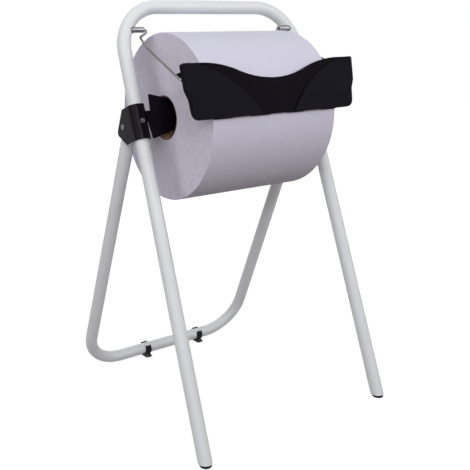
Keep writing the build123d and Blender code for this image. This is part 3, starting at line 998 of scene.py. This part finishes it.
class STAND_OT_brackets(bpy.types.Operator):
    """Fold the sheet brackets round the front tube"""

    bl_idname = "stand.brackets"
    bl_label = "Brackets"

    def execute(self, context):
        sizes = context.scene.stand_sizes
        low_z, height, flap = mm(538, 59, 71)
        behind, below, corner_r = mm(14.5, 23, 8)
        low = stand_line(1, low_z)
        low.x = BRACKET_X
        reach = BACK_FRONT * flap
        out, front = X_AXIS * WRAP_R, BACK_FRONT * -WRAP_R
        line = [low - out + reach, low - out + front, low + out + front, low + out + reach]
        piece = start_point("right_wrap", line[0])
        draw(line, [WRAP_R, WRAP_R])
        select_all()
        pull(UP_FRONT * (height / math.cos(LEAN)))
        foot = PIVOT - UP_REAR * below
        corner = foot + BACK_REAR * behind
        cut(PIVOT + BACK_REAR * behind, BACK_REAR, clear_outer=True)
        cut(foot, UP_REAR, clear_inner=True)
        choose(piece, "VERT", lambda v: (v.co - corner).yz.length < MM / 2)
        bpy.ops.mesh.bevel(offset=corner_r, segments=7, affect="VERTICES")
        close_solid()

        def from_tube(spot):
            """Away from the tube that the sheet wraps; only sideways behind its middle."""
            away = spot - low
            away -= UP_FRONT * away.dot(UP_FRONT)
            return X_AXIS * away.x if away.dot(BACK_FRONT) > 0 else away

        turn_faces(piece, from_tube)
        modify(piece, "SOLIDIFY", thickness=sizes.sheet, offset=1)
        crest, before, beyond = eyelet_place(1), *mm(1, 6)
        drill(piece, crest - BACK_FRONT * before, crest + BACK_FRONT * beyond, EYELET_HOLE_R)
        round_edges(piece, sizes.sheet_edge, 40)
        dress_pair(piece, 32, "black", "stand", "black_steel", "left_bracket", "right_bracket")
        return {"FINISHED"}


def holder_point(x, height, back=0.0):
    """A point of the right core holder: across, up its plate and back from its front edge."""
    return HOLDER_AT + X_AXIS * x + HOLDER_UP * height + HOLDER_BACK * back


class STAND_OT_core_holders(bpy.types.Operator):
    """Crease the plates that carry the core and fold their tabs"""

    bl_idname = "stand.core_holders"
    bl_label = "Core holders"

    def execute(self, context):
        sizes = context.scene.stand_sizes
        tab_x = BRACKET_X - WRAP_R - SHEET
        neck, near_half, tip_half = mm(10, 39.90, 18.56)
        tip_x, near_x, upper_notch_x, lower_notch_x = mm(85.5, 168, 170.5, 177.5)
        end_x = tab_x - 2.3 * MM
        halves = []
        for way, notch_x in ((1, upper_notch_x), (-1, lower_notch_x)):
            outline = [
                (tip_x, 0), (tip_x, tip_half), (near_x, near_half), (notch_x, neck),
                (end_x, neck), (end_x, 0), (tip_x, 0),
            ]
            points = [holder_point(x, way * h, sizes.crease * h / near_half) for x, h in outline]
            halves.append(start_point("half_plate", points[0]))
            draw(points, mm(9, 1.5, 2, 0, 0), math.radians(10))
            close_outline()
            close_mesh()
        piece = joined("right_cradle", *halves)
        open_mesh(piece)
        merge_doubles(MM / 50)
        close_solid()
        turn_faces(piece, lambda spot: -HOLDER_BACK)
        modify(piece, "SOLIDIFY", thickness=sizes.sheet, offset=-1, use_even_offset=True)
        combine(piece, self.tab(sizes, tab_x, neck), "UNION")
        rivet_at = holder_point(tab_x, 0, HOLDER_RIVET_BACK)
        outside, inside, hole_r = mm(1, 4, 2.1)
        drill(piece, rivet_at + X_AXIS * outside, rivet_at - X_AXIS * inside, hole_r)
        round_edges(piece, sizes.sheet_edge, 40)
        nodes = "left_core_holder", "right_core_holder"
        dress_pair(piece, 24, "black", "stand", "black_steel", *nodes)
        return {"FINISHED"}

    def tab(self, sizes, tab_x, neck):
        """The tab that lies against the bracket, rounded where it is folded."""
        length, corner, fold_r = mm(18, 2.5, 2.4)
        outline = [(-neck, 0), (-neck, length), (neck, length), (neck, 0)]
        points = [holder_point(tab_x, h, d) for h, d in outline]
        tab = plate("tab", points, [corner, corner, 0], X_AXIS * -sizes.sheet, math.radians(15))
        fold = holder_point(tab_x, 0)

        def on_fold(edge):
            away = [v.co - fold for v in edge.verts]
            return all(abs(a.x) < CLOSE and abs(a.dot(HOLDER_BACK)) < CLOSE for a in away)

        open_mesh(tab)
        choose(tab, "EDGE", on_fold)
        bpy.ops.mesh.bevel(offset=fold_r, segments=5)
        close_mesh()
        return tab


class STAND_OT_rivets(bpy.types.Operator):
    """Turn the eyelets, the pivot rivets and the small rivets of the core holders"""

    bl_idname = "stand.rivets"
    bl_label = "Rivets"

    def execute(self, context):
        eyelet = turned(
            "eyelet_right", eyelet_place(1), -BACK_FRONT, X_AXIS,
            mm((1.5, -6), (1.5, 1.2), (4, 1.2), (4, 0), (2.4, 0), (2.4, -6)),
            mm(1.1, 0.9, 0.15, 0, 0), closed=True,
        )
        grip = 2 * (WRAP_R + SHEET)
        dome = mm((0, 2.4), (2.1, 2.3), (4.2, 1.75), (5.25, 0.75), (5.25, 0), (3, 0))
        tail = mm((3, 0), (5.25, 0), (5.25, -0.6), (4, -1.2), (0, -1.2))
        pivot = turned(
            "pivot_right", Vector((BRACKET_X + WRAP_R + SHEET, PIVOT.y, PIVOT.z)), X_AXIS, Y_AXIS,
            dome + [(r, h - grip) for r, h in tail],
            mm(0, 2, 0.8, 0.2, 0, 0, 0.2, 0.3, 0.4),
        )
        seat = HOLDER_AT + HOLDER_BACK * HOLDER_RIVET_BACK
        seat.x = BRACKET_X - WRAP_R - 2 * SHEET
        dome = mm((0, 1.6), (1.7, 1.5), (3.1, 1.0), (3.75, 0.3), (3.75, 0), (2, 0))
        tail = mm((2, -5), (2.95, -5), (2.95, -5.8), (0, -5.8))
        small = turned(
            "small_right", seat, -X_AXIS, Y_AXIS, dome + tail,
            mm(0, 1.5, 0.5, 0.15, 0, 0, 0.2, 0.3),
        )
        for piece, name, finish, node in (
            (eyelet, "eyelets", "zinc", "bracket_eyelets"),
            (pivot, "pivot_studs", "rivet", "pivot_rivets"),
            (small, "cradle_rivets", "rivet", "holder_rivets"),
        ):
            pair = joined(name, piece, mirrored(piece))
            dress(pair, 40, finish, "stand", "rivet_steel", node)
        return {"FINISHED"}


def tube_space(radius):
    """The space that the front tube fills, as a solid to cut with."""
    piece = swept("tube_space", front_line(), radius, [TUBE_BEND] * 2, 64)
    close_ends(piece)
    return piece


def tube_gap(point):
    """How far a point near the right bend lies outside the front tube."""
    before, corner, after = front_line()[1:]
    back, on = (before - corner).normalized(), (after - corner).normalized()
    half = back.angle(on) / 2
    centre = corner + (back + on).normalized() * (TUBE_BEND / math.sin(half))
    across = back.cross(on).normalized()
    away = point - centre
    aside = away.dot(across)
    return math.hypot((away - across * aside).length - TUBE_BEND, aside) - TUBE_R


def sleeve_touch(spoke, radius):
    """How far out a line along the sleeve's skin meets the front tube."""
    low, high = mm(150, 200)
    for _ in range(30):
        guess = (low + high) / 2
        if tube_gap(SLEEVE + X_AXIS * guess + spoke * radius) > 0:
            low = guess
        else:
            high = guess
    return low


class STAND_OT_arm_sleeves(bpy.types.Operator):
    """Turn the sleeves for the wires, cope them to the bends and weld them on"""

    bl_idname = "stand.arm_sleeves"
    bl_label = "Arm sleeves"

    def execute(self, context):
        sizes = context.scene.stand_sizes
        start, length, outer, cope_gap = mm(157, 28, 5, 0.05)
        sleeve = turned(
            "right_barrel", SLEEVE + X_AXIS * start, X_AXIS, Y_AXIS,
            [(WIRE_BORE_R, 0), (outer, 0), (outer, length), (WIRE_BORE_R, length)],
            mm(0.6, 0, 0), closed=True,
        )
        combine(sleeve, tube_space(TUBE_R + cope_gap))
        beads = []
        around, back_off, ring_r, voxel = 22, 0.2 * MM, 5.1 * MM, 0.3 * MM
        rng = random.Random(7)
        for step in range(around):
            turn = math.tau * step / around
            spoke = Vector((0, math.cos(turn), math.sin(turn)))
            spot = SLEEVE + X_AXIS * (sleeve_touch(spoke, outer) - back_off) + spoke * ring_r
            clear_choice()
            bpy.ops.mesh.primitive_uv_sphere_add(
                segments=12, ring_count=8, radius=sizes.weld * rng.uniform(0.62, 0.74),
                location=spot,
            )
            beads.append(new_piece("bead"))
        weld = joined("right_weld", *beads)
        modify(weld, "REMESH", mode="VOXEL", voxel_size=voxel)
        modify(weld, "SMOOTH", factor=0.5, iterations=2)
        dress_pair(sleeve, 40, "zinc", "stand", "zinc", "left_arm_sleeve", "right_arm_sleeve")
        dress_pair(weld, 40, "weld", "stand", "zinc")
        return {"FINISHED"}


class STAND_OT_wire_arms(bpy.types.Operator):
    """Bend the wires from the sleeves to the tear bar, and push on their caps"""

    bl_idname = "stand.wire_arms"
    bl_label = "Wire arms"

    def execute(self, context):
        sizes = context.scene.stand_sizes
        # Through the sleeve, out of it inwards, forward round the roll and into the bar's ear
        corners = [
            SLEEVE + X_AXIS * (172 * MM),
            SLEEVE + X_AXIS * (142.6 * MM),
            SLEEVE + Vector(mm(166, -2.5, -13)),
            SLEEVE + Vector(mm(168, -26, -32)),
            BAR_HINGE + X_AXIS * (188 * MM),
            BAR_HINGE + X_AXIS * (168.5 * MM),
        ]
        wire = swept("right_wire", corners, sizes.wire / 2, mm(4, 4, 9, 4), 28, math.radians(9))
        close_ends(wire)
        round_edges(wire, 0.5 * MM, 60, 3)
        cap = turned(
            "right_cap", BAR_HINGE + X_AXIS * (167.25 * MM), X_AXIS, Y_AXIS,
            mm((0, 0), (4.5, 0), (4.5, 2.5), (2.1, 2.5), (2.1, 1.3), (0, 1.3)),
            mm(0.9, 0.2, 0.15, 0),
        )
        dress_pair(wire, 40, "wire", "arms", "zinc", "left_wire_arm", "right_wire_arm")
        caps = joined("wire_caps", cap, mirrored(cap))
        dress(caps, 40, "rivet", "arms", "rivet_steel", "arm_caps")
        return {"FINISHED"}


def bar_point(x, height, back=0.0):
    """A point of the tear bar: across, up its face and back from its front plane."""
    return BAR_AT + X_AXIS * x + BAR_RISE * height - BAR_OUT * back


def ahead_of_bar(point):
    """How far a mesh point lies ahead of the bar's front plane."""
    return (point.co - BAR_AT).dot(BAR_OUT)


def up_bar(point):
    """How far a mesh point lies up the bar's face."""
    return (point.co - BAR_AT).dot(BAR_RISE)


def circle_through(first, second, third):
    """Centre and radius of the circle through three points of a plane."""
    (ax, ay), (bx, by), (cx, cy) = first, second, third
    turn = 2 * (ax * (by - cy) + bx * (cy - ay) + cx * (ay - by))
    aa, bb, cc = ax * ax + ay * ay, bx * bx + by * by, cx * cx + cy * cy
    x = (aa * (by - cy) + bb * (cy - ay) + cc * (ay - by)) / turn
    y = (aa * (cx - bx) + bb * (ax - cx) + cc * (bx - ax)) / turn
    return x, y, math.hypot(ax - x, ay - y)


def bar_body(sizes):
    """The tear bar's outline drawn from the middle of its lower edge, and given its depth."""
    right = [bar_point(x, h) for x, h in BAR_OUTLINE]
    left = [bar_point(-x, h) for x, h in reversed(BAR_OUTLINE)]
    corners, step_angle = mm(14, 6, 6, 4), math.radians(9)
    shoulder_x = BAR_OUTLINE[-1][0]
    drop, reach, dip = mm(15, 76, 40.5)
    radius = (reach**2 + drop**2) / (2 * drop)
    piece = start_point("tear_shell", right[0])
    draw(right, corners, step_angle)
    for x, height, way in (
        (shoulder_x, BAR_TOP - radius, 1), (0, dip + radius, -1),
        (0, dip + radius, -1), (-shoulder_x, BAR_TOP - radius, 1),
    ):
        swing(bar_point(x, height), BAR_OUT * way, 2 * math.atan2(drop, reach), 12)
    draw(left, corners[::-1], step_angle)
    close_outline()
    pull(-BAR_OUT * sizes.depth)
    face_outwards()
    choose(piece, "EDGE", lambda e: all(abs(ahead_of_bar(v)) < CLOSE for v in e.verts))
    bpy.ops.mesh.bevel(offset=sizes.edge, segments=4)
    close_solid()
    return piece


def bar_recess(piece, sizes):
    """Sink the middle of the face between two arcs, and round the step."""
    x, y, radius = circle_through(*mm((176.06, 70.5), (86.52, 33.5), (35.06, -21.5)))
    ahead, under, step_round = mm(-2, -28, 0.7)
    steps = 30
    over = BAR_RISE * (8 * MM)

    def angle_at(height):
        return math.atan2(height - y, -math.sqrt(radius**2 - (height - y) ** 2)) % math.tau

    def spot(turn, way):
        return bar_point(way * (x + radius * math.cos(turn)), y + radius * math.sin(turn), ahead)

    top, low = angle_at(BAR_TOP), angle_at(under)
    tool = start_point("recess_tool", spot(top, 1) + over)
    pull(-over)
    swing(bar_point(x, y, ahead), BAR_OUT, low - top, steps)
    pull(spot(low, -1) - spot(low, 1))
    swing(bar_point(-x, y, ahead), BAR_OUT, low - top, steps)
    pull(over)
    pull(spot(top, 1) - spot(top, -1))
    close_outline()
    pull(-BAR_OUT * (sizes.recess - ahead))
    close_solid()
    combine(piece, tool)

    def on_arc(point):
        return abs(math.hypot(abs(point.co.x) - x, up_bar(point) - y) - radius) < 0.05 * MM

    def on_step(edge):
        return all(on_arc(v) for v in edge.verts) and any(
            all(abs(ahead_of_bar(v) + depth) < 0.02 * MM for v in edge.verts)
            for depth in (0, sizes.recess)
        )

    open_mesh(piece)
    choose(piece, "EDGE", on_step)
    bpy.ops.mesh.bevel(offset=step_round, segments=3)
    close_mesh()


def bar_pockets(piece, sizes):
    """Hollow the back into pockets between a wall and upright ribs."""
    rib, rib_places = 2 * MM, (-0.7, -0.45, 0.45, 0.7)

    def at_back(face):
        middle = face.calc_center_median()
        return abs((middle - BAR_AT).dot(BAR_OUT) + sizes.depth) < 0.01 * MM

    def inner(face):
        return all(at_back(other) for point in face.verts for other in point.link_faces)

    def pocket(face):
        across = [point.co.x for point in face.verts]
        return inner(face) and max(across) - min(across) > 2 * rib

    open_mesh(piece)
    choose(piece, "FACE", at_back)
    bpy.ops.mesh.inset(thickness=sizes.wall, depth=0)
    for place in rib_places:
        for edge in (-rib / 2, rib / 2):
            choose(piece, "FACE", inner)
            bpy.ops.mesh.bisect(plane_co=(place * BAR_HALF + edge, 0, 0), plane_no=(1, 0, 0))
    choose(piece, "FACE", pocket)
    pull(BAR_OUT * (sizes.depth - sizes.recess - sizes.wall))
    close_mesh()


def bar_ear(side):
    """An ear behind one end of the bar, for the wire to turn in, with a horn behind the wire."""
    middle, half_width = mm(180.5, 2)
    start = side * middle - half_width
    outline = mm((2.4, 33), (15.993, 41.706), (32.257, 58.327), (2.4, 59))
    points = [bar_point(start, height, back) for back, height in outline]
    return plate("ear", points, mm(5.5, 1.4, 0), X_AXIS * (2 * half_width))


def bar_teeth(sizes):
    """The row of teeth, as one strip whose lower edge is drawn out point by point."""
    pitch, root, back, thickness = mm(3, 1.2, 5.5, 1.6)
    above_roots, level = mm(-21, -20.25)
    half = sizes.teeth * pitch / 2
    strip = start_point("teeth", bar_point(-half, BAR_LOW, back))
    pull(X_AXIS * (2 * half))
    select_all()
    bpy.ops.mesh.subdivide(number_cuts=2 * sizes.teeth - 1)
    choose(strip, "VERT", lambda v: round((v.co.x + half) / (pitch / 2)) % 2 == 1)
    bpy.ops.transform.translate(value=(-BAR_RISE * sizes.tooth)[:])
    select_all()
    pull(BAR_RISE * (root + sizes.tooth))
    choose(strip, "VERT", lambda v: up_bar(v) > above_roots)
    bpy.ops.transform.resize(
        value=(1, 0, 0), orient_type="GLOBAL", center_override=bar_point(0, level, back)[:],
    )
    select_all()
    pull(BAR_OUT * thickness)
    close_solid()
    return strip


class STAND_OT_tear_bar(bpy.types.Operator):
    """Mould the tear bar: face, wings, hollow back, ears and teeth"""

    bl_idname = "stand.tear_bar"
    bl_label = "Tear bar"

    def execute(self, context):
        sizes = context.scene.bar_sizes
        ear_x, ear_depth, roll_half, roll_r, edge = mm(176, 16, 143.5, 150.3, 0.3)
        shell = bar_body(sizes)
        bar_recess(shell, sizes)
        bar_pockets(shell, sizes)
        combine(shell, bar_teeth(sizes), "UNION")
        for side in SIDES:
            combine(shell, bar_ear(side), "UNION")
            start = BAR_HINGE + X_AXIS * (side * ear_x)
            drill(shell, start, start + X_AXIS * (side * ear_depth), WIRE_BORE_R, 32)
        roll_end = X_AXIS * roll_half
        drill(shell, ROLL - roll_end, ROLL + roll_end, roll_r, 360)
        round_edges(shell, edge, 50)
        dress(shell, 32, "bar", "bar", "bar_plastic", "tear_bar")
        return {"FINISHED"}


class STAND_OT_paper_roll(bpy.types.Operator):
    """Wind the paper on its core: bands of layers at the ends, a soft outer skin"""

    bl_idname = "stand.paper_roll"
    bl_label = "Paper roll"

    def execute(self, context):
        sizes = context.scene.roll_sizes
        half, outer = sizes.width / 2, sizes.radius
        core_r = sizes.bore / 2
        core_outer = core_r + sizes.core_wall
        inner = core_outer + 0.1 * MM
        rng = random.Random(11)
        profile = [(inner, half - 0.3 * MM)]
        radius = inner + 1.5 * MM
        while radius < outer - 3 * MM:
            profile.append((radius, half - sizes.layer_step * rng.uniform(0, 1)))
            radius += rng.uniform(1.2, 4.2) * MM
        profile += [(outer - r, half - h) for r, h in mm((1.5, 0.05), (0.45, 0.5), (0, 1.6))]
        skin = [(outer, half * f) for f in (0.75, 0.5, 0.25, 0, -0.25, -0.5, -0.75)]
        other_end = [(r, -h) for r, h in reversed(profile)]
        roll = turned(
            "wound_paper", ROLL, X_AXIS, Z_AXIS, profile + skin + other_end,
            steps=sizes.around, closed=True,
        )
        dress(roll, 30, "paper", "roll", "roll_paper", "paper_roll")
        core = turned(
            "board_core", ROLL - X_AXIS * half, X_AXIS, Z_AXIS,
            [(core_r, 0), (core_outer, 0), (core_outer, 2 * half), (core_r, 2 * half)],
            mm(0.4, 0.4, 0.4), steps=96, closed=True,
        )
        dress(core, 40, "board", "roll", "core_board", "roll_core")
        return {"FINISHED"}


class STAND_OT_floor_parts(bpy.types.Operator):
    """Mould the foot plugs and the floor clips"""

    bl_idname = "stand.floor_parts"
    bl_label = "Floor parts"

    def execute(self, context):
        sizes = context.scene.bar_sizes
        dress_pair(
            self.plug(sizes), 40, "plastic", "stand", "floor_plastic",
            "left_foot_plug", "right_foot_plug",
        )
        for x, name, node in (
            (-49.44, "left_clip", "left_floor_clip"), (94.49, "right_clip", "right_floor_clip"),
        ):
            clip = self.clip(name, x * MM)
            round_edges(clip, sizes.clip_edge, 30)
            dress(clip, 40, "plastic", "rear_leg", "floor_plastic", node)
        return {"FINISHED"}

    def plug(self, sizes):
        """A plug under the right leg, flat on the floor, with a stem up the tube."""
        stem_r, blank, edge, stem = mm(10.75, 30, 2.5, 28)
        foot = stand_line(1, 0)
        along = (stand_line(1, TOP_Z) - foot).normalized()
        plug = start_ring("right_plug", foot - along * TUBE_R, along, stem_r, 48)
        bpy.ops.mesh.edge_face_add()
        pull(along * blank)
        face_outwards()
        cut(Vector((0, 0, 0)), Z_AXIS, use_fill=True, clear_inner=True)
        cut(Z_AXIS * FOOT_CUT_Z, Z_AXIS, use_fill=True, clear_outer=True)
        choose(plug, "EDGE", at_height(0))
        bpy.ops.mesh.bevel(offset=edge, segments=5)
        choose(plug, "FACE", lambda f: all(abs(v.co.z - FOOT_CUT_Z) < CLOSE for v in f.verts))
        pull(along * stem)
        close_solid()
        round_edges(plug, sizes.clip_edge, 50)
        return plug

    def clip(self, name, middle_x):
        """A band round the cross bar, open at the top and front, over a flared foot."""
        inner, outer, width, foot_half, foot_z = mm(12.6, 15.1, 14, 15.5, 2.5)
        front_lip, rear_lip, foot_front, foot_rear = 38, 105, -57.7, -122.3
        start_x = middle_x - width / 2
        centre = Vector((start_x, REAR_BAR_Y, REAR_BAR_Z))

        def ray(radius, degrees):
            turn = math.radians(degrees)
            return centre + Vector((0, -radius * math.cos(turn), radius * math.sin(turn)))

        def foot(y, z):
            return Vector((start_x, REAR_BAR_Y + y, z))

        piece = start_point(name, ray(inner, front_lip))
        pull(ray(outer, front_lip) - ray(inner, front_lip))
        swing(centre, X_AXIS, math.radians(front_lip - foot_front), 16)
        draw([
            ray(outer, foot_front), foot(-foot_half, foot_z), foot(-foot_half, 0),
            foot(foot_half, 0), foot(foot_half, foot_z), ray(outer, foot_rear),
        ])
        swing(centre, X_AXIS, math.radians(360 + foot_rear - rear_lip), 22)
        pull(ray(inner, rear_lip) - ray(outer, rear_lip))
        swing(centre, -X_AXIS, math.radians(360 - rear_lip + front_lip), 48)
        close_outline()
        pull(X_AXIS * width)
        close_solid()
        return piece


# Stage


def seen_rays(tree):
    """1 for rays from the camera and for mirrored and refracted ones, which see pure white."""
    path = add(tree, "ShaderNodeLightPath").outputs
    seen = maths(tree, "MAXIMUM", path["Is Camera Ray"], path["Is Glossy Ray"])
    return maths(tree, "MAXIMUM", seen, path["Is Transmission Ray"])


class STAND_OT_stage(bpy.types.Operator):
    """Set the floor, the soft lights, the background and the camera"""

    bl_idname = "stand.stage"
    bl_label = "Stage"

    def execute(self, context):
        stage = context.scene.stand_stage
        clear_choice()
        bpy.ops.mesh.primitive_plane_add(size=14, location=(0, 0, 0))
        floor = new_piece("studio_floor")
        open_mesh(floor, "SELECT")
        bpy.ops.mesh.subdivide(number_cuts=6)
        close_mesh()
        floor.data.materials.append(self.floor_material(stage))
        self.world(context, stage)
        for name, place, width in (
            ("left", (-2.1, -1.3, 1.6), 3.1), ("right", (1.5, -2.1, 1.5), 1.5),
            ("front", (-1.12, -2.2, 1.58), 0.3), ("top", (0.0, -0.2, 2.6), 1.8),
            ("back", (0.6, 2.6, 1.3), 1.8),
        ):
            self.lamp(f"{name}_lamp", place, width, getattr(stage, name))
        self.camera(context, stage)
        return {"FINISHED"}

    def floor_material(self, stage):
        """White floor that keeps the stand's shadow and gives back a set share of light.

        Near the stand it glows less, by what the lamps add to the part that shows the shadow.
        """
        material = bpy.data.materials.new("floor_white")
        material.use_nodes = True
        tree = material.node_tree
        tree.nodes.clear()
        given_back = solid(scaled((stage.bounce,) * 3, 1.15, 0.92, 0.92))
        matt = add(tree, "ShaderNodeBsdfDiffuse", {"Color": given_back})
        shadow = add(tree, "ShaderNodeBsdfDiffuse", {"Color": (0.3, 0.3, 0.3, 1.0)})
        place = add(tree, "ShaderNodeTexCoord").outputs["Object"]
        reach = add(tree, "ShaderNodeVectorMath", {0: place}, operation="LENGTH").outputs["Value"]
        level = spread(tree, reach, 0.5, 1.8, 0.88, 1.0)
        glow = add(tree, "ShaderNodeEmission", {"Color": solid(stage.floor), "Strength": level})
        bright = add(tree, "ShaderNodeAddShader", {0: shadow.outputs[0], 1: glow.outputs[0]})
        self.end(tree, "ShaderNodeOutputMaterial", matt, bright)
        return material

    def world(self, context, stage):
        """Air that lights the stand faintly, in front of a white background."""
        world = bpy.data.worlds.new("studio_air")
        context.scene.world = world
        world.use_nodes = True
        tree = world.node_tree
        tree.nodes.clear()
        up = split(tree, add(tree, "ShaderNodeTexCoord").outputs["Generated"])["Z"]
        level = spread(tree, up, 0, 1, stage.horizon, stage.sky)
        tint = (1.0, 0.88, 0.88, 1.0)
        air = add(tree, "ShaderNodeBackground", {"Color": tint, "Strength": level})
        white = add(tree, "ShaderNodeBackground", {"Color": solid(stage.floor), "Strength": 1.0})
        self.end(tree, "ShaderNodeOutputWorld", air, white)

    def end(self, tree, output, lighting, seen):
        """Show one shader to the rays that see, and light the stand with the other."""
        shaders = {0: seen_rays(tree), 1: lighting.outputs[0], 2: seen.outputs[0]}
        add(tree, output, {"Surface": add(tree, "ShaderNodeMixShader", shaders).outputs[0]})

    def lamp(self, name, place, width, watts):
        """A square soft lamp that looks at the middle of the stand."""
        middle = Vector((0, 0, 0.45))
        aim = (middle - Vector(place)).to_track_quat("-Z", "Y").to_euler()
        clear_choice()
        bpy.ops.object.light_add(type="AREA", location=place, rotation=aim)
        lamp = bpy.context.object
        lamp.name = lamp.data.name = name
        lamp.data.size = width
        lamp.data.energy = watts
        lamp.data.color = (0.98, 0.985, 1.0)

    def camera(self, context, stage):
        """The photograph's camera."""
        heading, pitch, roll = stage.heading, stage.pitch, stage.roll
        ahead = Vector((
            math.sin(heading) * math.cos(pitch), math.cos(heading) * math.cos(pitch),
            -math.sin(pitch),
        ))
        level = Vector((math.cos(heading), -math.sin(heading), 0))
        above = level.cross(ahead)
        right = level * math.cos(roll) + above * math.sin(roll)
        up = above * math.cos(roll) - level * math.sin(roll)
        turn = Matrix((right, up, -ahead)).transposed().to_euler()
        clear_choice()
        bpy.ops.object.camera_add(location=stage.camera, rotation=turn)
        camera = bpy.context.object
        camera.name = camera.data.name = "photo_camera"
        camera.data.sensor_fit = "HORIZONTAL"
        camera.data.sensor_width = 36
        camera.data.lens = stage.lens
        camera.data.shift_x = stage.shift_x
        camera.data.shift_y = stage.shift_y
        camera.data.clip_end = 100
        context.scene.camera = camera
        context.scene.view_settings.view_transform = "Standard"


STEPS = (
    STAND_OT_finishes, STAND_OT_front_tube, STAND_OT_rear_tube, STAND_OT_brackets,
    STAND_OT_core_holders, STAND_OT_rivets, STAND_OT_arm_sleeves, STAND_OT_wire_arms,
    STAND_OT_tear_bar, STAND_OT_paper_roll, STAND_OT_floor_parts, STAND_OT_stage,
)
GROUPS = {
    "stand_sizes": StandSizes, "roll_sizes": RollSizes, "bar_sizes": BarSizes,
    "stand_finish": StandFinish, "stand_stage": StageSettings,
}


class STAND_PT_panel(bpy.types.Panel):
    """Lists the steps that build the stand, with its sizes and colours"""

    bl_idname = "STAND_PT_panel"
    bl_label = "Roll Stand"
    bl_space_type = "VIEW_3D"
    bl_region_type = "UI"
    bl_category = "Roll Stand"

    def draw(self, context):
        for step in STEPS:
            self.layout.operator(step.bl_idname)
        for name in GROUPS:
            box = self.layout.box()
            group = getattr(context.scene, name)
            for item in group.__annotations__:
                box.prop(group, item)


def register():
    for name, group in GROUPS.items():
        bpy.utils.register_class(group)
        setattr(bpy.types.Scene, name, bpy.props.PointerProperty(type=group))
    for item in (*STEPS, STAND_PT_panel):
        bpy.utils.register_class(item)


def unregister():
    for item in reversed((*STEPS, STAND_PT_panel)):
        bpy.utils.unregister_class(item)
    for name, group in GROUPS.items():
        delattr(bpy.types.Scene, name)
        bpy.utils.unregister_class(group)


def main():
    """Register the add-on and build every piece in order."""
    register()
    for step in STEPS:
        getattr(bpy.ops.stand, step.bl_idname.split(".")[1])()
    clear_choice()


if __name__ == "__main__":
    main()
